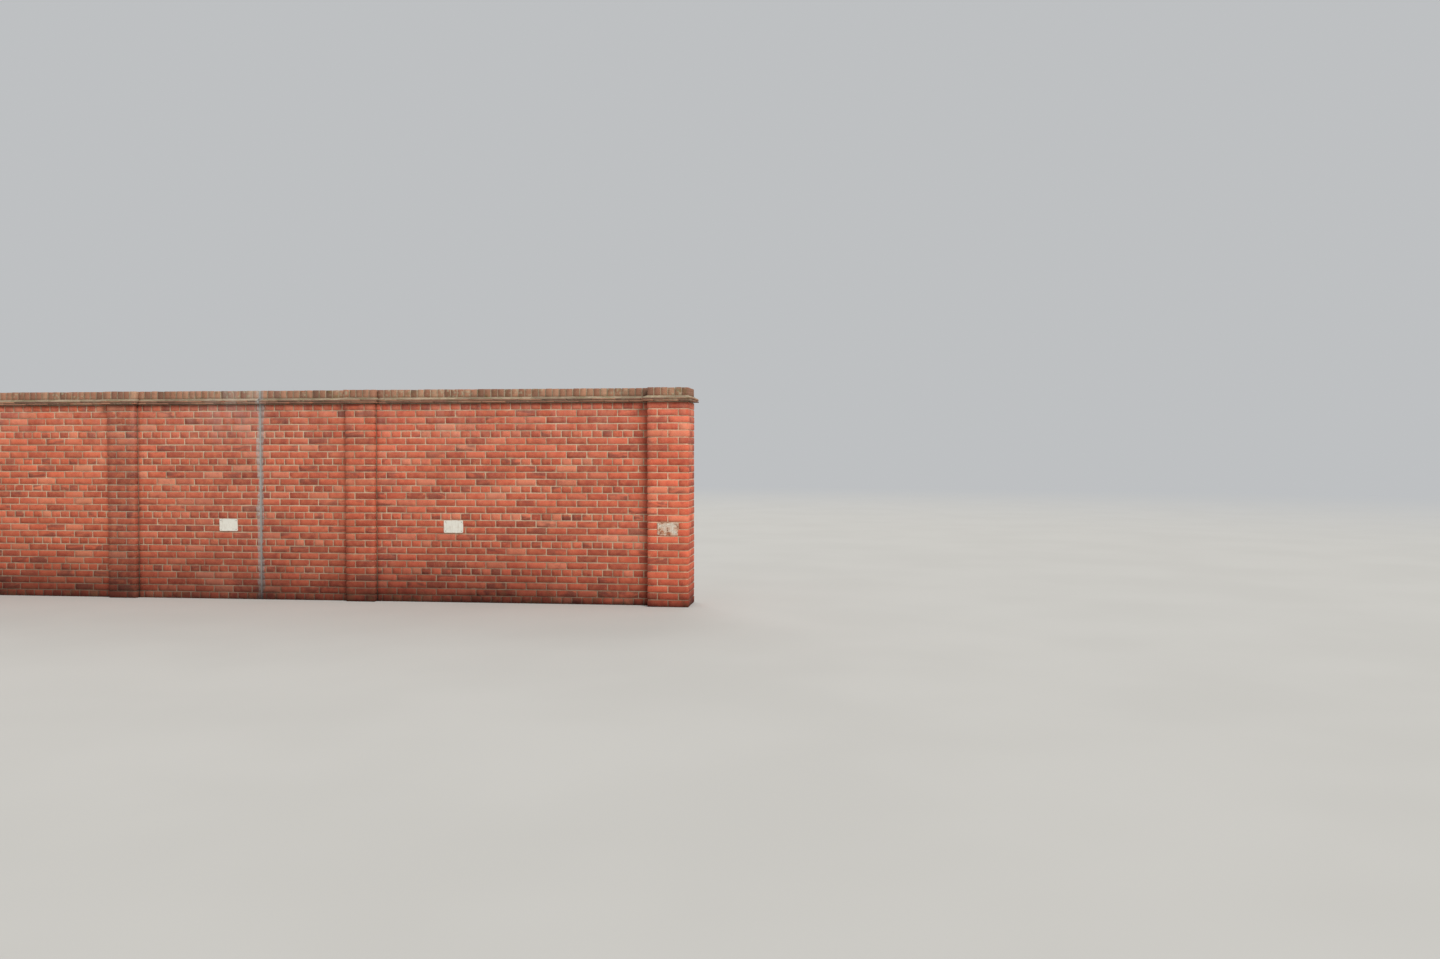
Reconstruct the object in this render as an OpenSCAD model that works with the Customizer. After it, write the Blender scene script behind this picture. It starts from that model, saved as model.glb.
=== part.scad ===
// Brick garden wall: four bays of one-brick-thick walling between attached
// piers, with a heavier pier at each end, a double tile creasing on its mortar
// haunch, a brick-on-edge coping that steps out over every pier, one sealed
// movement joint and three blank marker plates.
// Millimetres. X runs along the wall, the front looks along -Y, Z is up.
// The origin is at the foot of the wall, at the middle of its length.

/* [Brick and joint] */
// Length of one brick
brick_l = 215; // [200:1:240]
// Width of one brick, which is also the height of the brick-on-edge coping
brick_w = 102.5; // [95:0.5:115]
// Height of one brick
brick_h = 65; // [50:1:73]
// Mortar joint, beds and perpends alike
joint = 10; // [6:0.5:14]

/* [Walling] */
// Courses of brick from the foot of the wall to the tile creasing
courses = 29; // [12:1:36]
// Half-brick modules in each of the three equal panels
panel_modules = 22; // [12:1:32]
// Half-brick modules in the longer panel at the right-hand end
long_panel_modules = 27; // [12:1:40]

/* [Piers] */
// Half-brick modules across the face of a pier between two bays
pier_modules = 3; // [3:1:4]
// Half-brick modules across the face of the pier at each end of the wall
end_pier_modules = 4; // [4:1:5]

/* [Tile creasing] */
// Thickness of one creasing tile
tile_t = 14; // [10:1:20]
// Mortar bed under each layer of tiles
tile_bed = 6; // [4:1:10]
// How far the tiles stand out beyond the brick face
tile_out = 45; // [25:1:60]
// How far the bed between the two layers is set back from the tile edge
tile_bed_back = 7; // [3:1:12]
// Height of the sloped mortar haunch against the coping
haunch_h = 26; // [12:1:40]

/* [Coping] */
// Courses of brick-on-edge across the face of a pier between two bays
pier_coping_bricks = 5; // [5:1:6]

/* [Movement joint] */
// Half-brick modules from the left side of the third panel to the joint
mj_module = 13; // [3:1:19]
// Width of the sealed joint
mj_w = 18; // [10:1:25]
// How far the sealant is set back from every face
mj_back = 4; // [2:1:8]

/* [Marker plates] */
// Width of one plate
plate_w = 220; // [150:5:300]
// Height of one plate
plate_h = 140; // [100:5:200]
// Thickness of one plate
plate_t = 4; // [3:0.5:6]
// Corner radius of one plate
plate_r = 14; // [4:1:30]
// Height of the plate centres above the foot of the wall
plate_z = 830; // [400:5:1400]

/* [Hidden] */
$fn = 64;
m = brick_w + joint;                  // half-brick module along the wall
course = brick_h + joint;             // one course
wall_t = brick_l;                     // one-brick walling
pier_w = pier_modules * m - joint;    // face of a pier
pier_d = pier_w;
end_w = end_pier_modules * m - joint; // face of an end pier
end_d = end_w;
wall_h = courses * course;

// module line at which each pier and panel starts, counted from the left end
at_end_left = 0;
at_p1 = end_pier_modules;
at_a = at_p1 + panel_modules;
at_p2 = at_a + pier_modules;
at_b = at_p2 + panel_modules;
at_p3 = at_b + pier_modules;
at_c = at_p3 + panel_modules;
at_p4 = at_c + pier_modules;
at_end_right = at_p4 + long_panel_modules;
n_modules = at_end_right + end_pier_modules;
function px(k) = (k - n_modules / 2) * m; // x of a module line

// outer face lines of the piers
function left_of(k) = px(k) + joint / 2;
function right_of(k, n) = px(k + n) - joint / 2;

// levels of the top of the wall
z_tile1 = wall_h + tile_bed;
z_bed = z_tile1 + tile_t;
z_tile2 = z_bed + tile_bed;
z_top_bed = z_tile2 + tile_t;
z_coping = z_top_bed + joint;
z_top = z_coping + brick_w;

cop_pier_w = pier_coping_bricks * course - joint;
mj_x = px(at_p3 + mj_module);

// lines along X between which each panel's masonry, creasing and coping lie
function crease_l(k) = left_of(k) - tile_out;
function crease_r(k, n) = right_of(k, n) + tile_out;
function coping_l(k, n) = (left_of(k) + right_of(k, n) - cop_pier_w) / 2;
function coping_r(k, n) = (left_of(k) + right_of(k, n) + cop_pier_w) / 2;

brick_c = [0.74, 0.42, 0.31];
pier_c_ = [0.68, 0.37, 0.28];
end_c = [0.78, 0.44, 0.32];
crease_c = [0.55, 0.42, 0.34];
coping_c = [0.58, 0.46, 0.37];
seal_c = [0.60, 0.62, 0.58];
plate_c = [0.86, 0.86, 0.83];

// a box between two corners
module block(x0, x1, y0, y1, z0, z1)
  translate([x0, y0, z0]) cube([x1 - x0, y1 - y0, z1 - z0]);

// plain one-brick walling from x0 to x1, foot to creasing
module panel(x0, x1)
  color(brick_c) block(x0, x1, -wall_t / 2, wall_t / 2, 0, wall_h);

// a pier: a square stack of brickwork that stands out from both faces
module pier(k, n, c)
  color(c) block(left_of(k), right_of(k, n),
    -(n * m - joint) / 2, (n * m - joint) / 2, 0, wall_h);

// the haunch of a creasing over a straight panel
module haunch_profile()
  polygon([
    [-(wall_t / 2 + tile_out - 3), 0], [wall_t / 2 + tile_out - 3, 0],
    [wall_t / 2, haunch_h], [wall_t / 2, joint],
    [-wall_t / 2, joint], [-wall_t / 2, haunch_h]
  ]);

// two layers of tiles, their beds and the haunch, over a straight panel
module creasing_straight(x0, x1)
  color(crease_c) union() {
    w = wall_t / 2 + tile_out;
    block(x0, x1, -wall_t / 2, wall_t / 2, wall_h, z_tile1);
    block(x0, x1, -w, w, z_tile1, z_bed);
    block(x0, x1, -w + tile_bed_back, w - tile_bed_back, z_bed, z_tile2);
    block(x0, x1, -w, w, z_tile2, z_top_bed);
    translate([x0, 0, z_top_bed])
      rotate([90, 0, 90]) linear_extrude(x1 - x0) haunch_profile();
  }

// a hipped block of mortar, foot_x by foot_y at the bottom and
// head_x by head_y at the top
module hipped(foot_x, foot_y, head_x, head_y, h)
  intersection() {
    rotate([90, 0, 0]) linear_extrude(foot_y, center = true)
      polygon([[-foot_x / 2, 0], [foot_x / 2, 0], [head_x / 2, h], [-head_x / 2, h]]);
    rotate([90, 0, 90]) linear_extrude(foot_x, center = true)
      polygon([[-foot_y / 2, 0], [foot_y / 2, 0], [head_y / 2, h], [-head_y / 2, h]]);
  }

// creasing over a pier whose face runs from x0 to x1 and which is d deep,
// with a coping cw wide on it; run_l and run_r say on which sides the
// straight coping runs on
module creasing_pier(x0, x1, d, cw, run_l, run_r)
  color(crease_c) {
    cx = (x0 + x1) / 2;
    w = x1 - x0;
    o = tile_out;
    b = tile_bed_back;
    difference() {
      union() {
        block(x0, x1, -d / 2, d / 2, wall_h, z_tile1);
        // the end strips of bed that the tiles need beyond the pier
        block(run_l ? x0 - o : x0, run_r ? x1 + o : x1,
          -wall_t / 2, wall_t / 2, wall_h, z_tile1);
        block(x0 - o, x1 + o, -d / 2 - o, d / 2 + o, z_tile1, z_bed);
        block(x0 - o + (run_l ? 0 : b), x1 + o - (run_r ? 0 : b),
          -wall_t / 2 - o + b, wall_t / 2 + o - b, z_bed, z_tile2);
        block(x0 - o + b, x1 + o - b, -d / 2 - o + b, d / 2 + o - b, z_bed, z_tile2);
        block(x0 - o, x1 + o, -d / 2 - o, d / 2 + o, z_tile2, z_top_bed);
        translate([cx, 0, z_top_bed])
          hipped(w + 2 * o - 6, d + 2 * o - 6, cw, d, haunch_h);
        // bed under the end of the straight coping
        block(run_l ? x0 - o : x0, run_r ? x1 + o : x1,
          -wall_t / 2, wall_t / 2, z_top_bed, z_coping);
      }
      // the coping's own bricks
      block(cx - cw / 2, cx + cw / 2, -d / 2, d / 2, z_coping, z_top);
      if (run_l) block(x0 - 2 * o, cx, -wall_t / 2, wall_t / 2, z_coping, z_top);
      if (run_r) block(cx, x1 + 2 * o, -wall_t / 2, wall_t / 2, z_coping, z_top);
    }
  }

// brick-on-edge, d deep, from x0 to x1
module coping(x0, x1, d)
  color(coping_c) block(x0, x1, -d / 2, d / 2, z_coping, z_top);

// the sealant, through the walling, the creasing and the coping
module movement_joint() {
  color(seal_c) {
    x0 = mj_x - mj_w / 2;
    x1 = mj_x + mj_w / 2;
    w = wall_t / 2 - mj_back;
    o = wall_t / 2 + tile_out - tile_bed_back;
    union() {
      block(x0, x1, -w, w, 0, z_top - mj_back);
      block(x0, x1, -o, o, z_tile1, z_top_bed);
    }
  }
}

// a blank plate with rounded corners, flat on a face that looks along -Y
module marker_plate(cx, face_y)
  color(plate_c)
    translate([cx, face_y, plate_z]) rotate([90, 0, 0])
      linear_extrude(plate_t) {
        iw = plate_w / 2 - plate_r;
        ih = plate_h / 2 - plate_r;
        square([plate_w, 2 * ih], center = true);
        square([2 * iw, plate_h], center = true);
        for (sx = [-1, 1], sz = [-1, 1])
          translate([sx * iw, sz * ih]) circle(plate_r);
      }

panel(right_of(at_end_left, end_pier_modules), left_of(at_a));  // panel_1
panel(right_of(at_a, pier_modules), left_of(at_b));  // panel_2
panel(right_of(at_b, pier_modules), mj_x - mj_w / 2);  // panel_3_left
panel(mj_x + mj_w / 2, left_of(at_c));  // panel_3_right
panel(right_of(at_c, pier_modules), left_of(at_end_right));  // panel_4

pier(at_end_left, end_pier_modules, end_c);  // end_pier_left
pier(at_a, pier_modules, pier_c_);  // pier_a
pier(at_b, pier_modules, pier_c_);  // pier_b
pier(at_c, pier_modules, pier_c_);  // pier_c
pier(at_end_right, end_pier_modules, end_c);  // end_pier_right

creasing_straight(crease_r(at_end_left, end_pier_modules), crease_l(at_a));  // creasing_panel_1
creasing_straight(crease_r(at_a, pier_modules), crease_l(at_b));  // creasing_panel_2
creasing_straight(crease_r(at_b, pier_modules), mj_x - mj_w / 2);  // creasing_panel_3_left
creasing_straight(mj_x + mj_w / 2, crease_l(at_c));  // creasing_panel_3_right
creasing_straight(crease_r(at_c, pier_modules), crease_l(at_end_right));  // creasing_panel_4

creasing_pier(left_of(at_end_left), right_of(at_end_left, end_pier_modules),  // creasing_end_left
    end_d, end_w, false, true);
creasing_pier(left_of(at_a), right_of(at_a, pier_modules), pier_d, cop_pier_w, true, true);  // creasing_pier_a
creasing_pier(left_of(at_b), right_of(at_b, pier_modules), pier_d, cop_pier_w, true, true);  // creasing_pier_b
creasing_pier(left_of(at_c), right_of(at_c, pier_modules), pier_d, cop_pier_w, true, true);  // creasing_pier_c
creasing_pier(left_of(at_end_right), right_of(at_end_right, end_pier_modules),  // creasing_end_right
    end_d, end_w, true, false);

coping(right_of(at_end_left, end_pier_modules), coping_l(at_a, pier_modules), wall_t);  // coping_panel_1
coping(coping_r(at_a, pier_modules), coping_l(at_b, pier_modules), wall_t);  // coping_panel_2
coping(coping_r(at_b, pier_modules), mj_x - mj_w / 2, wall_t);  // coping_panel_3_left
coping(mj_x + mj_w / 2, coping_l(at_c, pier_modules), wall_t);  // coping_panel_3_right
coping(coping_r(at_c, pier_modules), left_of(at_end_right), wall_t);  // coping_panel_4

coping(left_of(at_end_left), right_of(at_end_left, end_pier_modules), end_d);  // coping_end_left
coping(coping_l(at_a, pier_modules), coping_r(at_a, pier_modules), pier_d);  // coping_pier_a
coping(coping_l(at_b, pier_modules), coping_r(at_b, pier_modules), pier_d);  // coping_pier_b
coping(coping_l(at_c, pier_modules), coping_r(at_c, pier_modules), pier_d);  // coping_pier_c
coping(left_of(at_end_right), right_of(at_end_right, end_pier_modules), end_d);  // coping_end_right

movement_joint();

// the plates: on the third panel, on the long panel and on the right-hand pier
marker_plate(px(at_p3 + mj_module) - 380, -wall_t / 2);  // marker_plate_left
marker_plate(px(at_p4) + 875, -wall_t / 2);  // marker_plate_middle
marker_plate((left_of(at_end_right) + right_of(at_end_right, end_pier_modules)) / 2, -end_d / 2);  // marker_plate_right
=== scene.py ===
import math

import bpy
import numpy as np
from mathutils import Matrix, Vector


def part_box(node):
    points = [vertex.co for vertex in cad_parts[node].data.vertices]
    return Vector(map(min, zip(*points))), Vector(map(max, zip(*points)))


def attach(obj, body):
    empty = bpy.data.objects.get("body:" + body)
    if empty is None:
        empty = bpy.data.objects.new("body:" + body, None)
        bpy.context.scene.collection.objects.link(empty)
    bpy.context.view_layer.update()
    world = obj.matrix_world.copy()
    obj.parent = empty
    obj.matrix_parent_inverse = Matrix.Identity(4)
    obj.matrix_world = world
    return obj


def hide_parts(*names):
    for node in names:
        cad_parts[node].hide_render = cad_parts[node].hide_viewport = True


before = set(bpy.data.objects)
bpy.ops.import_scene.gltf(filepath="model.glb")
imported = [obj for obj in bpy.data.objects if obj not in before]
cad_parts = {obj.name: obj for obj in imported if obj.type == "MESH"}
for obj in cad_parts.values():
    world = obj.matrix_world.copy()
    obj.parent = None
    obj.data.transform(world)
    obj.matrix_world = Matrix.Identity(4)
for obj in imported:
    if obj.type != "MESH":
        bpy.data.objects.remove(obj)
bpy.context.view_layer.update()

# ---------------------------------------------------------------- brickwork
# All lengths in metres, in the wall's own frame: X along the wall, the front
# looks along -Y, Z is up.
M = 0.1125      # half-brick module
J = 0.010       # mortar joint
C = 0.075       # course
BL, BW, BH = 0.215, 0.1025, 0.065
DEEP = 0.098    # how far a facing brick is built into the wall
RECESS = 0.0052 # how far the pointing lies behind the brick face
LIMIT = 0.0047  # no brick face is worn deeper than this, so the mortar stays behind it

NEG_X, POS_X, NEG_Y, POS_Y, NEG_Z, POS_Z = range(6)


def hash3(i, j, k, seed):
    h = (i * 73856093) ^ (j * 19349663) ^ (k * 83492791) ^ (seed * 2971215073)
    h = (h ^ (h >> 13)) * 1274126177 & 0x7FFFFFFFFFFF
    h = (h ^ (h >> 16)) & 0xFFFFFF
    return h / float(0xFFFFFF)


def vnoise(p, scale, seed):
    """Smooth value noise from 0 to 1 at points p, with features about scale wide."""
    q = np.asarray(p, float) / scale
    i = np.floor(q).astype(np.int64)
    f = q - i
    f = f * f * (3 - 2 * f)
    out = 0.0
    for dx in (0, 1):
        for dy in (0, 1):
            for dz in (0, 1):
                w = (
                    (f[..., 0] if dx else 1 - f[..., 0])
                    * (f[..., 1] if dy else 1 - f[..., 1])
                    * (f[..., 2] if dz else 1 - f[..., 2])
                )
                out = out + w * hash3(
                    i[..., 0] + dx, i[..., 1] + dy, i[..., 2] + dz, seed
                )
    return out


class Axis:
    """The lattice lines of a brick along one axis: line i is at t[i] * size + o[i]."""

    def __init__(self, fracs=(), b=0.003, lo=True, hi=True):
        self.t = np.array([0.0] + ([0.0] if lo else []) + list(fracs) + ([1.0] if hi else []) + [1.0])
        self.o = np.array([0.0] + ([b] if lo else []) + [0.0] * len(fracs) + ([-b] if hi else []) + [0.0])
        self.n = len(self.t)


class Lattice:
    """The surface of a box on a lattice. Sides in plain are one face each."""

    def __init__(self, ax, ay, az, plain=()):
        self.axes = (ax, ay, az)
        n = (ax.n, ay.n, az.n)
        ids, index = {}, []

        def vert(i, j, k):
            key = (i, j, k)
            if key not in ids:
                ids[key] = len(index)
                index.append(key)
            return ids[key]

        faces, sides = [], []

        def add(loop, side):
            faces.append([vert(*q) for q in loop])
            sides.append(side)

        I, K, L = n[0] - 1, n[1] - 1, n[2] - 1
        spec = {
            NEG_X: (1, 2, lambda a, b: (0, a, b), True),
            POS_X: (1, 2, lambda a, b: (I, a, b), False),
            NEG_Y: (0, 2, lambda a, b: (a, 0, b), False),
            POS_Y: (0, 2, lambda a, b: (a, K, b), True),
            NEG_Z: (0, 1, lambda a, b: (a, b, 0), True),
            POS_Z: (0, 1, lambda a, b: (a, b, L), False),
        }
        for side, (u, v, at, back) in spec.items():
            nu, nv = n[u] - 1, n[v] - 1
            if side in plain:
                rim = (
                    [(a, 0) for a in range(nu)]
                    + [(nu, b) for b in range(nv)]
                    + [(a, nv) for a in range(nu, 0, -1)]
                    + [(0, b) for b in range(nv, 0, -1)]
                )
                loop = [at(a, b) for a, b in rim]
                add(loop[::-1] if back else loop, side)
                continue
            for a in range(nu):
                for b in range(nv):
                    loop = [at(a, b), at(a + 1, b), at(a + 1, b + 1), at(a, b + 1)]
                    add(loop[::-1] if back else loop, side)
        self.index = np.array(index)
        self.loops = np.concatenate([np.array(f) for f in faces])
        self.totals = np.array([len(f) for f in faces])
        self.face_side = np.array(sides)
        self.loop_side = np.repeat(self.face_side, self.totals)
        last = np.array([I, K, L])
        self.at_lo = self.index == 0
        self.at_hi = self.index == last
        self.extreme = (self.at_lo | self.at_hi).sum(1)
        self.t = np.stack([a.t[self.index[:, c]] for c, a in enumerate(self.axes)], 1)
        self.o = np.stack([a.o[self.index[:, c]] for c, a in enumerate(self.axes)], 1)
        # for each side: the points of its rim, and those one line further back
        self.behind = {}
        for side in range(6):
            a = side // 2
            first, second = (0, 1) if side % 2 == 0 else (n[a] - 1, n[a] - 2)
            pairs = []
            for key, at in ids.items():
                if key[a] == second:
                    front = list(key)
                    front[a] = first
                    if tuple(front) in ids:
                        pairs.append((ids[tuple(front)], at))
            self.behind[side] = np.array(pairs).reshape(-1, 2)


F4 = (0.2, 0.4, 0.6, 0.8)
STRETCHER = Lattice(Axis(F4), Axis(hi=False), Axis((0.5,)), plain=(POS_Y,))
STRETCHER_B = Lattice(Axis(F4), Axis(lo=False), Axis((0.5,)), plain=(NEG_Y,))
HEADER = Lattice(Axis((0.35, 0.65)), Axis(hi=False), Axis((0.5,)), plain=(POS_Y,))
HEADER_B = Lattice(Axis((0.35, 0.65)), Axis(lo=False), Axis((0.5,)), plain=(NEG_Y,))
WHOLE_X = Lattice(Axis((0.25, 0.5, 0.75)), Axis((0.5,)), Axis((0.5,)))
WHOLE_Y = Lattice(Axis((0.5,)), Axis((0.25, 0.5, 0.75)), Axis((0.5,)))
ON_EDGE = Lattice(Axis((0.5,)), Axis((0.2, 0.4, 0.6, 0.8)), Axis((0.4, 0.75), lo=False), plain=(NEG_Z,))
TILE = Lattice(Axis((0.3, 0.7), b=0.002), Axis((0.5,), b=0.002), Axis(b=0.003))


class Charts:
    """Where each outer side of a block lies on its bake map, side by side or stacked."""

    def __init__(self, lo, hi, sides, stack=False, gap=0.012):
        self.lo, self.hi, self.sides = np.array(lo, float), np.array(hi, float), list(sides)
        size = self.hi - self.lo
        width = {NEG_X: size[1], POS_X: size[1], NEG_Y: size[0], POS_Y: size[0], NEG_Z: size[0], POS_Z: size[0]}
        height = {NEG_X: size[2], POS_X: size[2], NEG_Y: size[2], POS_Y: size[2], NEG_Z: size[1], POS_Z: size[1]}
        self.at, u, v, top, right = {}, gap, gap, 0.0, 0.0
        for s in self.sides:
            self.at[s] = (u, v)
            right, top = max(right, u + width[s]), max(top, v + height[s])
            if stack:
                v += height[s] + gap
            else:
                u += width[s] + gap
        # a strip at the right takes the sides that are built in, all over each other
        self.spare_at = np.array([right + gap, gap])
        self.spare = np.array([0.035 * right, 0.3 * top])
        self.span = np.array([right + 2 * gap + self.spare[0], top + gap])

    def built_in(self, across):
        """across runs from 0 to 1 over a hidden side."""
        return (self.spare_at + np.clip(across, 0, 1) * self.spare) / self.span

    def plane(self, side, p):
        x, y, z = (p - self.lo).T if p.ndim == 2 else np.moveaxis(p - self.lo, -1, 0)
        w = self.hi - self.lo
        u, v = {
            NEG_Y: (x, z),
            POS_Y: (w[0] - x, z),
            NEG_X: (w[1] - y, z),
            POS_X: (y, z),
            POS_Z: (x, y),
            NEG_Z: (x, w[1] - y),
        }[side]
        return np.stack([u + self.at[side][0], v + self.at[side][1]], -1) / self.span


OPPOSITE = {NEG_X: POS_X, POS_X: NEG_X, NEG_Y: POS_Y, POS_Y: NEG_Y, NEG_Z: POS_Z, POS_Z: NEG_Z}


class Maker:
    """Gathers boxes of brick, tile or mortar into one mesh."""

    def __init__(self, charts, seed):
        self.charts, self.rng = charts, np.random.default_rng(seed)
        self.v, self.loops, self.totals, self.uv = [], [], [], []
        self.rnd, self.pos, self.wear, self.chip, self.tint, self.mat = [], [], [], [], [], []
        self.count = 0

    def add(self, lattice, boxes, primary, jitter=1.0, relief=0.0008, chips=0.12,
            flare=0.0042, tint=(1, 1, 1), spall=0.0, material=0, skew=1.0, offset=None, round_=0.0012):
        boxes = np.asarray(boxes, float).reshape(-1, 6)
        n, rng, lat = len(boxes), self.rng, lattice
        if not n:
            return
        lo, hi = boxes[:, 0::2], boxes[:, 1::2]
        size = hi - lo
        base = lo[:, None] + lat.t[None] * size[:, None] + lat.o[None]
        co = base.copy()
        centre = (lo + hi) / 2
        edge = lat.extreme >= 2
        corner = lat.extreme >= 3
        inward = lat.at_lo.astype(float) - lat.at_hi
        # arrises are rounded, and worn a little unevenly
        amount = np.where(corner, round_ * 1.35, np.where(edge, round_, 0.0))
        worn = rng.gamma(1.6, 0.35, (n, 1)) * np.clip(rng.normal(0.8, 0.7, (n, len(edge))), 0, 3)
        bevel = min(abs(a.o[a.o != 0]).min() for a in lat.axes)
        push = np.minimum(amount[None] + edge[None] * worn * 0.0011 * jitter, 0.8 * bevel)
        co += inward[None] * push[..., None]
        # chipped corners and edges
        normal_axis, towards = primary // 2, (1.0 if primary % 2 == 0 else -1.0)
        others = [a for a in range(3) if a != normal_axis]
        face = (lo if primary % 2 == 0 else hi)[:, normal_axis]
        broken = np.zeros(co.shape[:2])
        for _ in range(2):
            hit = rng.random(n) < chips
            spot = np.zeros((n, 3))
            spot[:, normal_axis] = face
            pick = rng.random((n, 2))
            along = rng.random(n) < 0.5
            for c, a in enumerate(others):
                end = np.where(pick[:, c] < 0.5, lo[:, a], hi[:, a])
                free = lo[:, a] + rng.random(n) * size[:, a]
                spot[:, a] = np.where(along & (c == 0), free, end)
            reach = rng.uniform(0.014, 0.040, n)
            deep = rng.uniform(0.002, 0.0055, n) * hit
            d = np.linalg.norm(co - spot[:, None], axis=2)
            fall = np.clip(1 - d / reach[:, None], 0, 1) ** 0.7
            broken = np.maximum(broken, fall * hit[:, None])
            away = centre[:, None] - co
            away[..., normal_axis] = 0.0
            away /= np.maximum(np.linalg.norm(away, axis=2, keepdims=True), 1e-6)
            away *= 0.45
            away[..., normal_axis] = towards
            co += away * (fall * deep[:, None])[..., None]
        # the face itself: shallow folds, and here and there a blown face
        off = rng.uniform(-40, 40, (n, 1, 3)) if offset is None else np.zeros((n, 1, 3))
        local = base - centre[:, None] + off
        bump = vnoise(local, 0.035, 11) * 0.7 + vnoise(local, 0.016, 12) * 0.3
        blown = (rng.random(n) < spall) * rng.uniform(0.003, 0.008, n)
        mask = np.clip((vnoise(local, 0.07, 13) - 0.35) * 3, 0, 1)
        for s in range(6):
            on = (lat.at_lo if s % 2 == 0 else lat.at_hi)[:, s // 2]
            if s == OPPOSITE[primary]:
                continue
            sign = 1.0 if s % 2 == 0 else -1.0
            depth = bump * relief + (blown[:, None] * mask if s == primary else 0)
            co[..., s // 2] += on[None] * sign * depth
        # no arris is worn past the line behind it, so that no face folds over
        for s in range(6):
            front, second = lat.behind[s].T
            a, sign = s // 2, (1.0 if s % 2 == 0 else -1.0)
            order = (co[:, second, a] - co[:, front, a]) * sign
            if s == primary:
                co[:, second, a] += sign * np.maximum(0.0012 - order, 0)
            else:
                co[:, front, a] -= sign * np.maximum(0.0008 - order, 0)
        # laid by hand: each one a little out of line
        shift = rng.normal(0, 1, (n, 3)) * np.array([0.0008, 0.0008, 0.0006]) * jitter
        shift = np.clip(shift, -0.0018, 0.0018)
        shift[:, normal_axis] = towards * np.clip(np.abs(rng.normal(0, 0.0009, n)), 0, 0.0020) * jitter
        angle = np.clip(rng.normal(0, 0.0028, (n, 3)), -0.007, 0.007) * jitter * skew
        arm = co - centre[:, None]
        turn = np.cross(np.broadcast_to(angle[:, None], arm.shape), arm)
        co = co + turn + shift[:, None]
        on = (lat.at_lo if primary % 2 == 0 else lat.at_hi)[:, normal_axis]
        depth = (co[..., normal_axis] - face[:, None]) * towards
        depth[:, on] = np.minimum(depth[:, on], LIMIT)
        co[..., normal_axis] = face[:, None] + towards * depth
        # the bake map
        uv = np.zeros((n, len(lat.loops), 2))
        p = base[:, lat.loops]
        planes = [(self.charts.lo if s % 2 == 0 else self.charts.hi)[s // 2] for s in range(6)]
        depth = np.abs(p[..., normal_axis] - face[:, None])
        grow = flare * depth / np.maximum(size[:, normal_axis], 1e-6)[:, None]
        flared = centre[:, None] + (p - centre[:, None]) * (
            1 + 2 * grow[..., None] / np.maximum(size[:, None], 1e-6)
        )
        flared[..., normal_axis] = face[:, None]
        uv_flare = self.charts.plane(primary, flared)
        uv_hidden = self.charts.built_in((p - lo[:, None])[..., others] / size[:, None, others])
        for s in range(6):
            at = lat.loop_side == s
            if not at.any():
                continue
            plane = (lo if s % 2 == 0 else hi)[:, s // 2]
            shown = (np.abs(plane - planes[s]) < 0.004) & (s in self.charts.sides) | (s == primary)
            rest = uv_hidden if s == OPPOSITE[primary] else uv_flare
            flat = self.charts.plane(s, p[:, at]) if s in self.charts.sides else rest[:, at]
            uv[:, at] = np.where(shown[:, None, None], flat, rest[:, at])
        # what the materials read
        rnd = np.broadcast_to(rng.random((n, 1, 3)), co.shape)
        worn_at = np.broadcast_to((edge * 1.0)[None], co.shape[:2])
        self.v.append(co.reshape(-1, 3))
        start = self.count + np.arange(n)[:, None] * len(lat.index)
        self.loops.append((lat.loops[None] + start).ravel())
        self.totals.append(np.tile(lat.totals, n))
        self.uv.append(uv.reshape(-1, 2))
        self.rnd.append(rnd.reshape(-1, 3))
        self.pos.append(local.reshape(-1, 3))
        self.wear.append(worn_at.ravel())
        self.chip.append(broken.ravel())
        t = np.broadcast_to(np.asarray(tint, float).reshape(-1, 1, 3), co.shape)
        self.tint.append(t.reshape(-1, 3))
        self.mat.append(np.full(n * len(lat.totals), material))
        self.count += n * len(lat.index)

    def raw(self, v, faces, uv=None, tint=(1, 1, 1), material=0, wear=None):
        """A mesh part given as points and faces. uv is one pair for each corner."""
        v = np.asarray(v, float)
        loops = np.concatenate([np.asarray(f) for f in faces])
        self.v.append(v)
        self.loops.append(loops + self.count)
        self.totals.append(np.array([len(f) for f in faces]))
        self.uv.append(np.zeros((len(loops), 2)) if uv is None else np.asarray(uv, float))
        self.rnd.append(np.broadcast_to(self.rng.random(3), v.shape))
        self.pos.append(v)
        self.wear.append(np.zeros(len(v)) if wear is None else wear)
        self.chip.append(np.zeros(len(v)))
        self.tint.append(np.broadcast_to(np.asarray(tint, float), v.shape))
        self.mat.append(np.full(len(faces), material))
        self.count += len(v)

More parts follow.
